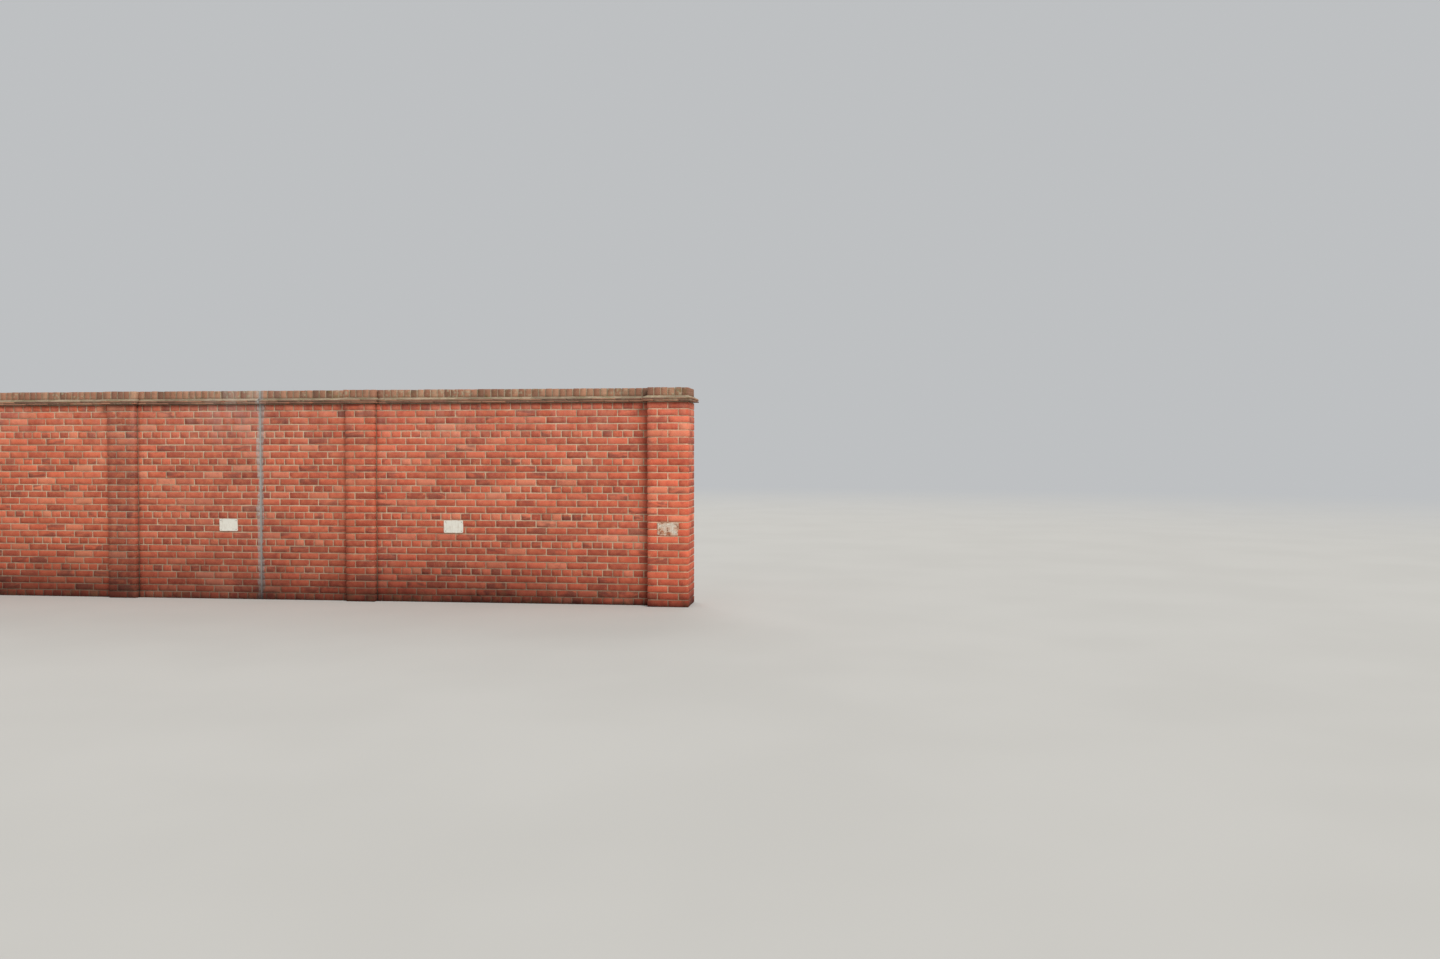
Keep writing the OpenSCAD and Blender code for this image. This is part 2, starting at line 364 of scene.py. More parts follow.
    def build(self, name, materials, smooth=True, mapped=True):
        v = np.concatenate(self.v)
        loops = np.concatenate(self.loops).astype(np.int32)
        totals = np.concatenate(self.totals).astype(np.int32)
        me = bpy.data.meshes.new(name)
        me.vertices.add(len(v))
        me.loops.add(len(loops))
        me.polygons.add(len(totals))
        me.vertices.foreach_set("co", v.astype(np.float32).ravel())
        me.loops.foreach_set("vertex_index", loops)
        starts = np.concatenate([[0], np.cumsum(totals)[:-1]]).astype(np.int32)
        me.polygons.foreach_set("loop_start", starts)
        me.polygons.foreach_set("material_index", np.concatenate(self.mat).astype(np.int32))
        me.update(calc_edges=True)
        me.polygons.foreach_set("use_smooth", np.full(len(totals), smooth))
        if mapped:
            layer = me.uv_layers.new(name="OFBake")
            layer.uv.foreach_set("vector", np.concatenate(self.uv).astype(np.float32).ravel())
        for key, data in (("bk_rnd", self.rnd), ("bk_pos", self.pos), ("bk_tint", self.tint)):
            a = me.attributes.new(key, "FLOAT_VECTOR", "POINT")
            a.data.foreach_set("vector", np.concatenate(data).astype(np.float32).ravel())
        for key, data in (("bk_wear", self.wear), ("bk_chip", self.chip)):
            a = me.attributes.new(key, "FLOAT", "POINT")
            a.data.foreach_set("value", np.concatenate(data).astype(np.float32))
        for m in materials:
            me.materials.append(m)
        me.validate()
        ob = bpy.data.objects.new(name, me)
        bpy.context.scene.collection.objects.link(ob)
        return ob


def even(n):
    """n lattice lines between 0 and 1, ends left out."""
    return tuple((np.arange(1, n) / n).tolist())


def core(maker, lo, hi, recess, step=(0.056, 0.075, 0.0375), relief=0.0022, tint=(1, 1, 1), material=0):
    """A block of mortar whose sides lie recess (one number for each side) behind the block's planes, trowelled unevenly."""
    lo, hi = np.array(lo, float), np.array(hi, float)
    size = hi - lo
    n = [max(1, int(round(s / t))) for s, t in zip(size, step)]
    lat = Lattice(*(Axis(even(k), lo=False, hi=False) for k in n))
    base = lo + lat.t * size
    co = base.copy()
    for s, r in enumerate(recess):
        on = (lat.at_lo if s % 2 == 0 else lat.at_hi)[:, s // 2]
        sign = 1.0 if s % 2 == 0 else -1.0
        wobble = (vnoise(base + 3.1 * s, 0.11, 21) * 0.6 + vnoise(base, 0.045, 22) * 0.4) * relief if r > 0 else 0
        co[:, s // 2] += on * sign * (r + wobble)
    uv = np.zeros((len(lat.loops), 2))
    p = base[lat.loops]
    for s in range(6):
        at = lat.loop_side == s
        if s in maker.charts.sides:
            uv[at] = maker.charts.plane(s, p[at])
        else:
            others = [a for a in range(3) if a != s // 2]
            uv[at] = maker.charts.built_in((p[at] - lo)[:, others] / size[others])
    maker.v.append(co)
    maker.loops.append(lat.loops + maker.count)
    maker.totals.append(lat.totals)
    maker.uv.append(uv)
    maker.rnd.append(np.full(co.shape, 0.5))
    maker.pos.append(base)
    maker.wear.append(np.zeros(len(co)))
    maker.chip.append(np.zeros(len(co)))
    maker.tint.append(np.broadcast_to(np.asarray(tint, float), co.shape))
    maker.mat.append(np.full(len(lat.totals), material))
    maker.count += len(co)


# ---------------------------------------------------------------- materials
def srgb(r, g, b):
    def f(c):
        c /= 255.0
        return c / 12.92 if c <= 0.04045 else ((c + 0.055) / 1.055) ** 2.4
    return (f(r), f(g), f(b), 1.0)


class Nodes:
    def __init__(self, name):
        self.m = bpy.data.materials.new(name)
        self.m.use_nodes = True
        self.nt = self.m.node_tree
        self.nt.nodes.clear()
        self.out = self.nt.nodes.new("ShaderNodeOutputMaterial")
        self.bsdf = self.nt.nodes.new("ShaderNodeBsdfPrincipled")
        self.nt.links.new(self.bsdf.outputs[0], self.out.inputs["Surface"])
        self.coord = self.nt.nodes.new("ShaderNodeTexCoord").outputs["Object"]

    def put(self, socket, value):
        if isinstance(value, bpy.types.NodeSocket):
            self.nt.links.new(value, socket)
        else:
            socket.default_value = value

    def attr(self, name, out="Vector"):
        n = self.nt.nodes.new("ShaderNodeAttribute")
        n.attribute_type, n.attribute_name = "GEOMETRY", name
        return n.outputs[out]

    def xyz(self, v):
        n = self.nt.nodes.new("ShaderNodeSeparateXYZ")
        self.put(n.inputs[0], v)
        return n.outputs[0], n.outputs[1], n.outputs[2]

    def vec(self, x, y, z):
        n = self.nt.nodes.new("ShaderNodeCombineXYZ")
        for i, q in enumerate((x, y, z)):
            self.put(n.inputs[i], q)
        return n.outputs[0]

    def math(self, op, a, b=0.0, c=0.0, clamp=False):
        n = self.nt.nodes.new("ShaderNodeMath")
        n.operation, n.use_clamp = op, clamp
        self.put(n.inputs[0], a)
        self.put(n.inputs[1], b)
        self.put(n.inputs[2], c)
        return n.outputs[0]

    def vmath(self, op, a, b=(0, 0, 0)):
        n = self.nt.nodes.new("ShaderNodeVectorMath")
        n.operation = op
        self.put(n.inputs[0], a)
        if isinstance(b, (int, float)):
            n.inputs["Scale"].default_value = b
        else:
            self.put(n.inputs[1], b)
        return n.outputs[0]

    def step(self, x, a, b, lo=0.0, hi=1.0):
        """Smooth step of x from a to b, giving lo to hi."""
        n = self.nt.nodes.new("ShaderNodeMapRange")
        n.interpolation_type = "SMOOTHSTEP"
        self.put(n.inputs["Value"], x)
        for key, q in (("From Min", a), ("From Max", b), ("To Min", lo), ("To Max", hi)):
            self.put(n.inputs[key], q)
        return n.outputs[0]

    def line(self, x, a, b, lo=0.0, hi=1.0):
        n = self.nt.nodes.new("ShaderNodeMapRange")
        self.put(n.inputs["Value"], x)
        for key, q in (("From Min", a), ("From Max", b), ("To Min", lo), ("To Max", hi)):
            self.put(n.inputs[key], q)
        return n.outputs[0]

    def noise(self, p, scale, detail=2.0, rough=0.5, distort=0.0):
        n = self.nt.nodes.new("ShaderNodeTexNoise")
        self.put(n.inputs["Vector"], p)
        n.inputs["Scale"].default_value = scale
        n.inputs["Detail"].default_value = detail
        n.inputs["Roughness"].default_value = rough
        n.inputs["Distortion"].default_value = distort
        return n.outputs["Fac"]

    def cells(self, p, scale, feature="F1", randomness=1.0):
        n = self.nt.nodes.new("ShaderNodeTexVoronoi")
        n.feature = feature
        self.put(n.inputs["Vector"], p)
        n.inputs["Scale"].default_value = scale
        n.inputs["Randomness"].default_value = randomness
        return n.outputs["Distance"]

    def mix(self, fac, a, b, mode="MIX"):
        n = self.nt.nodes.new("ShaderNodeMix")
        n.data_type, n.blend_type = "RGBA", mode
        self.put(n.inputs[0], fac)
        self.put(n.inputs[6], a)
        self.put(n.inputs[7], b)
        return n.outputs[2]

    def ramp(self, x, stops):
        n = self.nt.nodes.new("ShaderNodeValToRGB")
        self.put(n.inputs[0], x)
        e = n.color_ramp.elements
        while len(e) > 1:
            e.remove(e[-1])
        e[0].position, e[0].color = stops[0]
        for at, colour in stops[1:]:
            q = e.new(at)
            q.color = colour
        return n.outputs[0]

    def bump(self, height, distance, strength=1.0, normal=None):
        n = self.nt.nodes.new("ShaderNodeBump")
        n.inputs["Strength"].default_value = strength
        n.inputs["Distance"].default_value = distance
        self.put(n.inputs["Height"], height)
        if normal is not None:
            self.put(n.inputs["Normal"], normal)
        return n.outputs[0]

    def finish(self, colour, rough, normal=None, specular=0.25):
        self.put(self.bsdf.inputs["Base Color"], colour)
        self.put(self.bsdf.inputs["Roughness"], rough)
        self.bsdf.inputs["Specular IOR Level"].default_value = specular
        if normal is not None:
            self.put(self.bsdf.inputs["Normal"], normal)
        return self.m


def power(n, colour, k):
    """colour multiplied by a grey k."""
    return n.mix(1.0, colour, n.vec(k, k, k), "MULTIPLY")


JOINT_X = 1.35   # the movement joint


def foot_darkening(n, colour, reach=0.42, hue=(0.97, 1.10, 1.10)):
    """Darker towards the foot of the wall, gone at about 1.3 m."""
    x, _, z = n.xyz(n.coord)
    big = n.noise(n.coord, 1.7, 3.0, 0.6)
    fine = n.noise(n.coord, 9.0, 3.0, 0.6)
    zz = n.math("ADD", z, n.math("MULTIPLY_ADD", big, 0.30, -0.15))
    zz = n.math("MAXIMUM", n.math("ADD", zz, n.math("MULTIPLY_ADD", fine, 0.08, -0.04)), 0.0)
    fall = n.math("EXPONENT", n.math("MULTIPLY", zz, -1.0 / reach))
    amp = n.math("SUBTRACT", n.step(x, -1.8, 0.4, 0.54, 0.41), n.step(x, 3.3, 6.2, 0.0, 0.31))
    amp = n.math("SUBTRACT", amp, n.step(x, 5.0, 5.9, 0.0, 0.06))
    k = n.math("POWER", n.math("SUBTRACT", 1.0, n.math("MULTIPLY", fall, amp)), 2.2)
    # the lowest courses are darker still
    lowest_band = n.math("EXPONENT", n.math("MULTIPLY", zz, -1.0 / 0.13))
    much = n.math("ADD", n.step(x, -2.0, 1.0, 0.15, 0.50), n.step(x, 1.5, 6.0, 0.0, 0.34))
    k = n.math("MULTIPLY", k, n.math("SUBTRACT", 1.0, n.math("MULTIPLY", lowest_band, much)))
    shade = n.vec(*(n.math("POWER", k, h) for h in hue))
    return n.mix(1.0, colour, shade, "MULTIPLY"), fall


def smear(n, colour, strength=0.85, grey=(163, 156, 150)):
    """Cement and sealant dragged over the bricks on each side of the movement joint."""
    x, y, z = n.xyz(n.coord)
    d = n.math("ABSOLUTE", n.math("SUBTRACT", x, JOINT_X))
    side = n.math("MULTIPLY", n.math("GREATER_THAN", x, JOINT_X), 5.0)
    runs = n.noise(n.vec(n.math("MULTIPLY_ADD", x, 3.0, side), y, n.math("MULTIPLY", z, 0.8)), 4.0, 4.0, 0.7)
    bites = n.noise(n.coord, 34.0, 4.0, 0.7)
    width = n.math("MULTIPLY_ADD", runs, 0.105, -0.014)
    width = n.math("ADD", width, n.math("MULTIPLY_ADD", bites, 0.030, -0.015))
    mask = n.step(n.math("SUBTRACT", width, d), -0.002, 0.005)
    thin = n.step(n.noise(n.coord, 70.0, 4.0, 0.75), 0.34, 0.56, 0.25, 1.0)
    fac = n.math("MULTIPLY", n.math("MULTIPLY", mask, thin), strength)
    # a thin veil of lime has run out of the joint below the creasing
    reach = n.step(n.math("ABSOLUTE", n.math("SUBTRACT", x, JOINT_X - 0.30)), 0.72, 0.05)
    film = n.noise(n.vmath("MULTIPLY", n.coord, (7.0, 7.0, 1.6)), 1.5, 4.0, 0.65)
    veil = n.math("MULTIPLY", n.math("MULTIPLY", reach, n.step(z, 1.55, 2.12)), n.step(film, 0.34, 0.62))
    fac = n.math("MAXIMUM", fac, n.math("MULTIPLY", veil, 0.26))
    fleck = n.noise(n.coord, 260.0, 2.0, 0.7)
    paste = n.mix(n.step(fleck, 0.3, 0.7), srgb(*(c * 0.86 for c in grey)), srgb(*(c * 1.1 for c in grey)))
    return n.mix(fac, colour, paste)


def brick_material(name, stops, burn=0.80, bloom=0.13, dark=1.0, soot=0.0, joint=True):
    n = Nodes(name)
    p = n.attr("bk_pos")
    r1, r2, r3 = n.xyz(n.attr("bk_rnd"))
    _, _, height_up = n.xyz(n.coord)
    base = n.ramp(r1, stops)
    base = n.mix(1.0, base, n.attr("bk_tint"), "MULTIPLY")
    base = power(n, base, n.math("MULTIPLY_ADD", r2, 0.24, 0.88 * dark))
    # clouding from the kiln within one brick
    cloud = n.noise(p, 17.0, 3.0, 0.6, 0.4)
    base = n.mix(n.step(cloud, 0.35, 0.75, 0.0, 0.42), base, srgb(210, 128, 92))
    base = n.mix(n.step(cloud, 0.48, 0.20, 0.0, 0.50), base, srgb(140, 68, 56))
    # a few bricks are burnt darker along one side
    band = n.noise(n.vmath("MULTIPLY", p, (5.0, 5.0, 16.0)), 1.0, 2.0, 0.5, 0.8)
    burnt = n.math("MULTIPLY", n.step(r3, burn, burn + 0.12), n.step(band, 0.40, 0.60))
    base = n.mix(n.math("MULTIPLY", burnt, 0.62), base, srgb(98, 56, 52))
    # folds left by the mould on about half the bricks, the crease darkened with painted shade
    fold = n.noise(n.vmath("MULTIPLY", p, (0.6, 0.6, 1.7)), 30.0, 2.0, 0.45, 0.5)
    crease = n.step(n.math("ABSOLUTE", n.math("SUBTRACT", fold, 0.5)), 0.045, 0.0)
    crease = n.math("MULTIPLY", crease, n.step(n.noise(p, 14.0, 2.0), 0.46, 0.66))
    crease = n.math("MULTIPLY", crease, n.step(n.math("PINGPONG", n.math("MULTIPLY", r2, 7.0), 1.0), 0.35, 0.75))
    base = n.mix(n.math("MULTIPLY", crease, 0.42), base, srgb(112, 56, 46))
    # sanded face: fine light and dark grains, and small drag holes
    grain = n.noise(p, 620.0, 2.0, 0.7)
    base = n.mix(n.step(grain, 0.50, 0.76, 0.0, 0.55), base, srgb(226, 164, 128))
    base = n.mix(n.step(grain, 0.50, 0.26, 0.0, 0.58), base, srgb(108, 52, 42))
    pits = n.cells(p, 120.0)
    pit_mask = n.math("MULTIPLY", n.step(pits, 0.18, 0.08), n.step(n.noise(p, 24.0), 0.44, 0.60))
    # the drag holes are darkened: painted shade in the holes
    base = n.mix(n.math("MULTIPLY", pit_mask, 0.8), base, srgb(74, 42, 36))
    fleck = n.math("MULTIPLY", n.step(n.cells(p, 75.0), 0.10, 0.05), n.step(r2, 0.35, 0.6))
    base = n.mix(n.math("MULTIPLY", fleck, 0.6), base, srgb(226, 196, 164))
    # worn arrises are a little paler, fresh breaks brighter still
    wear = n.math("MULTIPLY", n.attr("bk_wear", "Fac"), n.step(n.noise(p, 60.0, 3.0, 0.7), 0.42, 0.66))
    base = n.mix(n.math("MULTIPLY", wear, 0.45), base, srgb(214, 140, 108))
    ragged = n.noise(p, 120.0, 4.0, 0.7)
    chip = n.math("ADD", n.attr("bk_chip", "Fac"), n.math("MULTIPLY_ADD", ragged, 0.9, -0.45))
    chip = n.step(chip, 0.34, 0.44)
    base = n.mix(n.math("MULTIPLY", chip, 0.62), base, n.mix(n.step(ragged, 0.35, 0.65), srgb(172, 88, 62), srgb(222, 148, 110)))
    # lime bloom in broad patches over the whole wall, and more of it below the creasing
    broad = n.noise(n.coord, 1.15, 3.0, 0.55)
    skin = n.noise(n.coord, 24.0, 4.0, 0.7)
    white = n.math("MULTIPLY", n.step(broad, 0.50, 0.74), n.step(skin, 0.42, 0.70))
    white = n.math("MULTIPLY", white, n.step(height_up, 0.3, 1.0, 0.45, 1.0))
    base = n.mix(n.math("MULTIPLY", white, bloom), base, srgb(216, 192, 174))
    run = n.noise(n.vmath("MULTIPLY", n.coord, (9.0, 9.0, 1.3)), 1.5, 4.0, 0.62)
    head = n.math("MULTIPLY", n.step(height_up, 1.45, 2.16), n.step(run, 0.36, 0.66))
    base = n.mix(n.math("MULTIPLY", head, 0.10), base, srgb(220, 190, 176))
    if soot:
        drip = n.noise(n.vmath("MULTIPLY", n.coord, (9.0, 9.0, 0.9)), 1.6, 3.0, 0.6)
        under = n.math("MULTIPLY", n.step(height_up, 1.85, 2.17), n.step(drip, 0.50, 0.72))
        base = n.mix(n.math("MULTIPLY", under, soot), base, srgb(96, 66, 54))
    if joint:
        base = smear(n, base)
    base, fall = foot_darkening(n, base)
    # thin green where the foot stays damp
    green = n.math("MULTIPLY", n.step(fall, 0.55, 1.0), n.step(n.noise(n.coord, 7.0, 4.0, 0.65), 0.50, 0.68))
    base = n.mix(n.math("MULTIPLY", green, 0.35), base, srgb(74, 70, 44))
    rough = n.line(grain, 0.3, 0.7, 0.82, 0.97)
    height = n.math("MULTIPLY_ADD", grain, 0.40, n.math("MULTIPLY", n.noise(p, 150.0, 3.0, 0.6), 0.75))
    height = n.math("SUBTRACT", height, n.math("MULTIPLY", pit_mask, 1.1))
    height = n.math("SUBTRACT", height, n.math("MULTIPLY", crease, 0.7))
    height = n.math("SUBTRACT", height, n.math("MULTIPLY", n.math("MULTIPLY", chip, ragged), 1.6))
    normal = n.bump(height, 0.0013, 0.9)
    return n.finish(base, rough, normal, 0.22)


def mortar_material(name, base_rgb=(204, 184, 156), low_rgb=(168, 146, 120), moss=0.0, joint=True, dark=1.0):
    n = Nodes(name)
    big = n.noise(n.coord, 3.2, 4.0, 0.6)
    base = n.mix(n.step(big, 0.35, 0.68), srgb(*low_rgb), srgb(*base_rgb))
    patch = n.noise(n.vmath("MULTIPLY", n.coord, (1.0, 1.0, 2.2)), 11.0, 4.0, 0.65)
    base = n.mix(n.step(patch, 0.52, 0.70, 0.0, 0.45), base, srgb(*(c * 0.66 for c in low_rgb)))
    base = n.mix(n.step(patch, 0.44, 0.30, 0.0, 0.40), base, srgb(*(min(c * 1.1, 240) for c in base_rgb)))
    base = power(n, base, dark)
    base = n.mix(1.0, base, n.attr("bk_tint"), "MULTIPLY")
    sand = n.noise(n.coord, 480.0, 2.0, 0.75)
    base = n.mix(n.step(sand, 0.52, 0.74, 0.0, 0.55), base, srgb(230, 212, 184))
    base = n.mix(n.step(sand, 0.48, 0.26, 0.0, 0.60), base, srgb(116, 96, 78))
    stone = n.cells(n.coord, 170.0)
    base = n.mix(n.math("MULTIPLY", n.step(stone, 0.14, 0.06), 0.6), base, srgb(98, 82, 70))
    if moss:
        tuft = n.step(n.noise(n.coord, 12.0, 4.0, 0.65), 0.48, 0.64)
        base = n.mix(n.math("MULTIPLY", tuft, moss), base, srgb(98, 96, 58))
    if joint:
        base = smear(n, base)
    base, _ = foot_darkening(n, base)
    height = n.math("MULTIPLY_ADD", sand, 0.5, n.math("MULTIPLY", n.noise(n.coord, 110.0, 3.0, 0.65), 0.8))
    normal = n.bump(height, 0.0018, 1.0)
    return n.finish(base, n.line(sand, 0.3, 0.7, 0.86, 0.98), normal, 0.2)


RED = [
    (0.00, srgb(151, 68, 53)),
    (0.12, srgb(168, 75, 56)),
    (0.34, srgb(182, 84, 61)),
    (0.60, srgb(193, 91, 66)),
    (0.80, srgb(198, 98, 73)),
    (0.93, srgb(202, 112, 86)),
    (1.00, srgb(207, 127, 100)),
]
BROWN = [
    (0.00, srgb(122, 86, 70)),
    (0.30, srgb(142, 98, 78)),
    (0.60, srgb(156, 110, 87)),
    (0.85, srgb(168, 122, 97)),
    (1.00, srgb(176, 136, 110)),
]


def weathered(name, stops, grain_scale=520.0, lichen=0.55, moss=0.5, soot=0.45):
    """Coping bricks and creasing tiles: washed brown, sooty, with lichen and moss."""
    n = Nodes(name)
    p = n.attr("bk_pos")
    r1, r2, r3 = n.xyz(n.attr("bk_rnd"))
    base = n.ramp(r1, stops)
    base = power(n, base, n.math("MULTIPLY_ADD", r2, 0.26, 0.87))
    base = n.mix(1.0, base, n.attr("bk_tint"), "MULTIPLY")
    grain = n.noise(p, grain_scale, 2.0, 0.7)
    base = n.mix(n.step(grain, 0.50, 0.78, 0.0, 0.45), base, srgb(204, 168, 138))
    base = n.mix(n.step(grain, 0.50, 0.24, 0.0, 0.50), base, srgb(80, 58, 48))
    ragged = n.noise(p, 110.0, 4.0, 0.7)
    chip = n.math("ADD", n.attr("bk_chip", "Fac"), n.math("MULTIPLY_ADD", ragged, 0.9, -0.45))
    chip = n.step(chip, 0.34, 0.46)
    base = n.mix(n.math("MULTIPLY", chip, 0.45), base, srgb(186, 112, 82))
    # soot and algae that the rain leaves in streaks
    cloud = n.noise(n.coord, 5.5, 4.0, 0.62, 0.3)
    base = n.mix(n.math("MULTIPLY", n.step(cloud, 0.46, 0.72), soot), base, srgb(86, 76, 62))
    # grey-green crusts, thin at the edge, and small ochre spots
    w1, w2, w3 = (n.noise(n.vmath("ADD", n.coord, q), 55.0, 4.0, 0.7) for q in ((0, 0, 0), (3, 1, 7), (5, 8, 2)))
    warp = n.vmath("ADD", n.coord, n.vmath("SCALE", n.vec(w1, w2, w3), 0.045))
    blob = n.cells(warp, 26.0)
    where = n.step(n.noise(n.coord, 3.1, 4.0, 0.66), 0.46, 0.60)
    crust = n.math("MULTIPLY", n.step(blob, 0.46, 0.28), where)
    tone = n.mix(n.noise(n.coord, 90.0, 3.0, 0.7), srgb(132, 130, 104), srgb(186, 182, 156))
    base = n.mix(n.math("MULTIPLY", crust, lichen), base, tone)
    spot = n.cells(warp, 58.0)
    ochre = n.math("MULTIPLY", n.step(spot, 0.24, 0.12), n.step(n.noise(n.coord, 4.7, 2.0), 0.54, 0.66))
    base = n.mix(n.math("MULTIPLY", ochre, 0.6), base, srgb(178, 146, 70))
    tuft = n.noise(n.coord, 21.0, 4.0, 0.7)
    green = n.math("MULTIPLY", n.step(tuft, 0.54, 0.66), n.step(n.noise(n.coord, 2.3, 2.0), 0.44, 0.62))
    base = n.mix(n.math("MULTIPLY", green, moss), base, srgb(98, 96, 52))
    base = smear(n, base, 0.6)
    height = n.math("MULTIPLY_ADD", grain, 0.4, n.math("MULTIPLY", n.noise(p, 120.0, 3.0, 0.6), 0.7))
    height = n.math("ADD", height, n.math("MULTIPLY", crust, 0.5))
    height = n.math("ADD", height, n.math("MULTIPLY", green, 1.4))
    height = n.math("SUBTRACT", height, n.math("MULTIPLY", n.math("MULTIPLY", chip, ragged), 1.6))
    normal = n.bump(height, 0.0014, 0.9)
    return n.finish(base, n.line(grain, 0.3, 0.7, 0.84, 0.98), normal, 0.2)


mat_wall = brick_material("wall_brick", RED, soot=0.10)
mat_pier = brick_material("pier_brick", RED, dark=0.98, joint=False, soot=0.14, bloom=0.10)
mat_end = brick_material("end_pier_brick", RED, dark=1.03, joint=False, soot=0.08, bloom=0.08)
mat_mortar = mortar_material("joint_mortar")
mat_bed = mortar_material("bedding_mortar", (172, 154, 130), (134, 118, 98), moss=0.40)
mat_coping = weathered("coping_brick", BROWN)
mat_tile = weathered("creasing_tile", [
    (0.00, srgb(114, 80, 67)),
    (0.35, srgb(136, 93, 76)),
    (0.70, srgb(152, 104, 83)),
    (1.00, srgb(164, 117, 93)),
], grain_scale=700.0, lichen=0.4, moss=0.45, soot=0.45)


def sealant_material():
    n = Nodes("joint_sealant")
    x, y, z = n.xyz(n.coord)
    cloud = n.noise(n.coord, 9.0, 4.0, 0.6)
    base = n.mix(cloud, srgb(128, 128, 124), srgb(168, 168, 162))
    dust = n.noise(n.coord, 300.0, 3.0, 0.7)
    base = n.mix(n.step(dust, 0.5, 0.75, 0.0, 0.5), base, srgb(196, 190, 178))
    drag = n.noise(n.vec(n.math("MULTIPLY", x, 40.0), y, n.math("MULTIPLY", z, 420.0)), 1.0, 2.0)
    base, _ = foot_darkening(n, base)
    normal = n.bump(n.math("ADD", n.math("MULTIPLY", drag, 0.7), n.math("MULTIPLY", dust, 0.3)), 0.0007, 0.8)
    return n.finish(base, n.line(dust, 0.3, 0.7, 0.55, 0.8), normal, 0.4)


def plate_material():
    """White enamel, streaked by the weather and rusting at the rim; bk_wear over a half ages the whole plate."""
    n = Nodes("plate_enamel")
    cloud = n.noise(n.coord, 14.0, 4.0, 0.6)
    base = n.mix(cloud, srgb(206, 202, 190), srgb(226, 224, 214))
    base = n.mix(1.0, base, n.attr("bk_tint"), "MULTIPLY")
    worn = n.attr("bk_wear", "Fac")
    old = n.step(worn, 0.2, 0.5)
    streak = n.noise(n.vmath("MULTIPLY", n.coord, (90.0, 1.0, 9.0)), 1.0, 3.0, 0.6)
    base = n.mix(n.math("MULTIPLY", n.step(streak, 0.50, 0.76), n.math("MULTIPLY_ADD", old, 0.2, 0.45)), base, srgb(158, 142, 118))
    speck = n.cells(n.coord, 95.0)
    chip = n.math("MULTIPLY", n.step(speck, 0.14, 0.09), n.step(n.noise(n.coord, 11.0), 0.48, 0.60))
    edge = n.math("MULTIPLY", n.math("MINIMUM", worn, 1.0), n.step(n.noise(n.coord, 85.0, 3.0, 0.7), 0.50, 0.60))
    # on an aged plate the enamel has flaked off in patches
    flake = n.noise(n.coord, 17.0, 5.0, 0.66, 0.3)
    bare = n.math("MULTIPLY", n.step(flake, 0.535, 0.560), old)
    stain = n.math("MULTIPLY", n.step(flake, 0.34, 0.55), old)
    base = n.mix(n.math("MULTIPLY", stain, 0.58), base, srgb(190, 132, 88))
    rust = n.math("MAXIMUM", n.math("MAXIMUM", chip, edge), bare)
    halo = n.step(n.noise(n.coord, 40.0, 3.0), 0.50, 0.78)
    base = n.mix(n.math("MULTIPLY", halo, n.math("MULTIPLY_ADD", old, 0.20, 0.20)), base, srgb(150, 122, 94))
    scale_ = n.math("MULTIPLY_ADD", n.noise(n.coord, 240.0, 3.0, 0.7), 0.55, n.math("MULTIPLY", n.noise(n.coord, 38.0, 3.0, 0.6), 0.60))
    metal = n.mix(n.step(scale_, 0.40, 0.74), srgb(82, 48, 37), srgb(172, 98, 56))
    base = n.mix(n.math("MULTIPLY", rust, 0.90), base, metal)
    normal = n.bump(n.math("SUBTRACT", n.noise(n.coord, 160.0, 2.0), n.math("MULTIPLY", rust, 1.2)), 0.0003, 0.6)
    rough = n.math("MULTIPLY_ADD", rust, 0.5, 0.32)
    return n.finish(base, rough, normal, 0.5)


def screw_material():
    n = Nodes("screw_steel")
    cloud = n.noise(n.coord, 260.0, 3.0, 0.6)
    base = n.mix(cloud, srgb(134, 128, 120), srgb(172, 168, 160))
    rust = n.step(n.noise(n.coord, 420.0, 3.0, 0.7), 0.5, 0.68)
    base = n.mix(n.math("MULTIPLY", rust, 0.7), base, srgb(120, 72, 46))
    n.bsdf.inputs["Metallic"].default_value = 0.85
    return n.finish(base, n.math("MULTIPLY_ADD", rust, 0.35, 0.38), n.bump(cloud, 0.0001, 0.5), 0.5)


mat_seal = sealant_material()
mat_plate = plate_material()
mat_screw = screw_material()


# ------------------------------------------------------------------- pieces
def place(ob, slot, *nodes):
    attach(ob, "root")
    if nodes:
        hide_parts(*nodes)
    return ob


def corners(node):
    lo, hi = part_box(node)
    return np.array(lo), np.array(hi)


def course_spans(kind, x0, n):
    """The bricks of one course of n half-brick modules from module line x0, as (start, end, template)."""
    out = []

    def stretchers(at, count):
        for k in range(count):
            a = x0 + (at + 2 * k) * M
            out.append((a + J / 2, a + 2 * M - J / 2, True))

    def half(at):
        out.append((x0 + at * M + J / 2, x0 + (at + 1) * M - J / 2, False))

    if kind == "S0":
        stretchers(0, n // 2)
        if n % 2:
            half(n - 1)
    elif kind == "S1":
        half(0)
        stretchers(1, (n - 1) // 2)
        if n % 2 == 0:
            half(n - 1)
    else:  # headers, with a closer at each end
        out.append((x0 + J / 2, x0 + M / 2 - J / 2, False))
        for k in range(n - 1):
            a = x0 + M / 2 + k * M
            out.append((a + J / 2, a + M - J / 2, False))
        out.append((x0 + (n - 0.5) * M + J / 2, x0 + n * M - J / 2, False))
    return out


def course_kind(c):
    if c % 4 == 0:
        return "H"
    return "S0" if (c % 4 + (c // 4)) % 2 else "S1"


def tinted(boxes, tint, swells):
    """One tint for each brick: the panel's own, changed near the places in swells (x, reach, colour)."""
    boxes = np.asarray(boxes, float).reshape(-1, 6)
    out = np.tile(np.asarray(tint, float), (len(boxes), 1))
    for at, reach, colour in swells:
        w = np.clip((reach - np.abs(boxes[:, :2].mean(1) - at)) / (0.6 * reach), 0, 1)
        w = w * w * (3 - 2 * w)
        out *= 1 + w[:, None] * (np.asarray(colour) - 1)
    return out


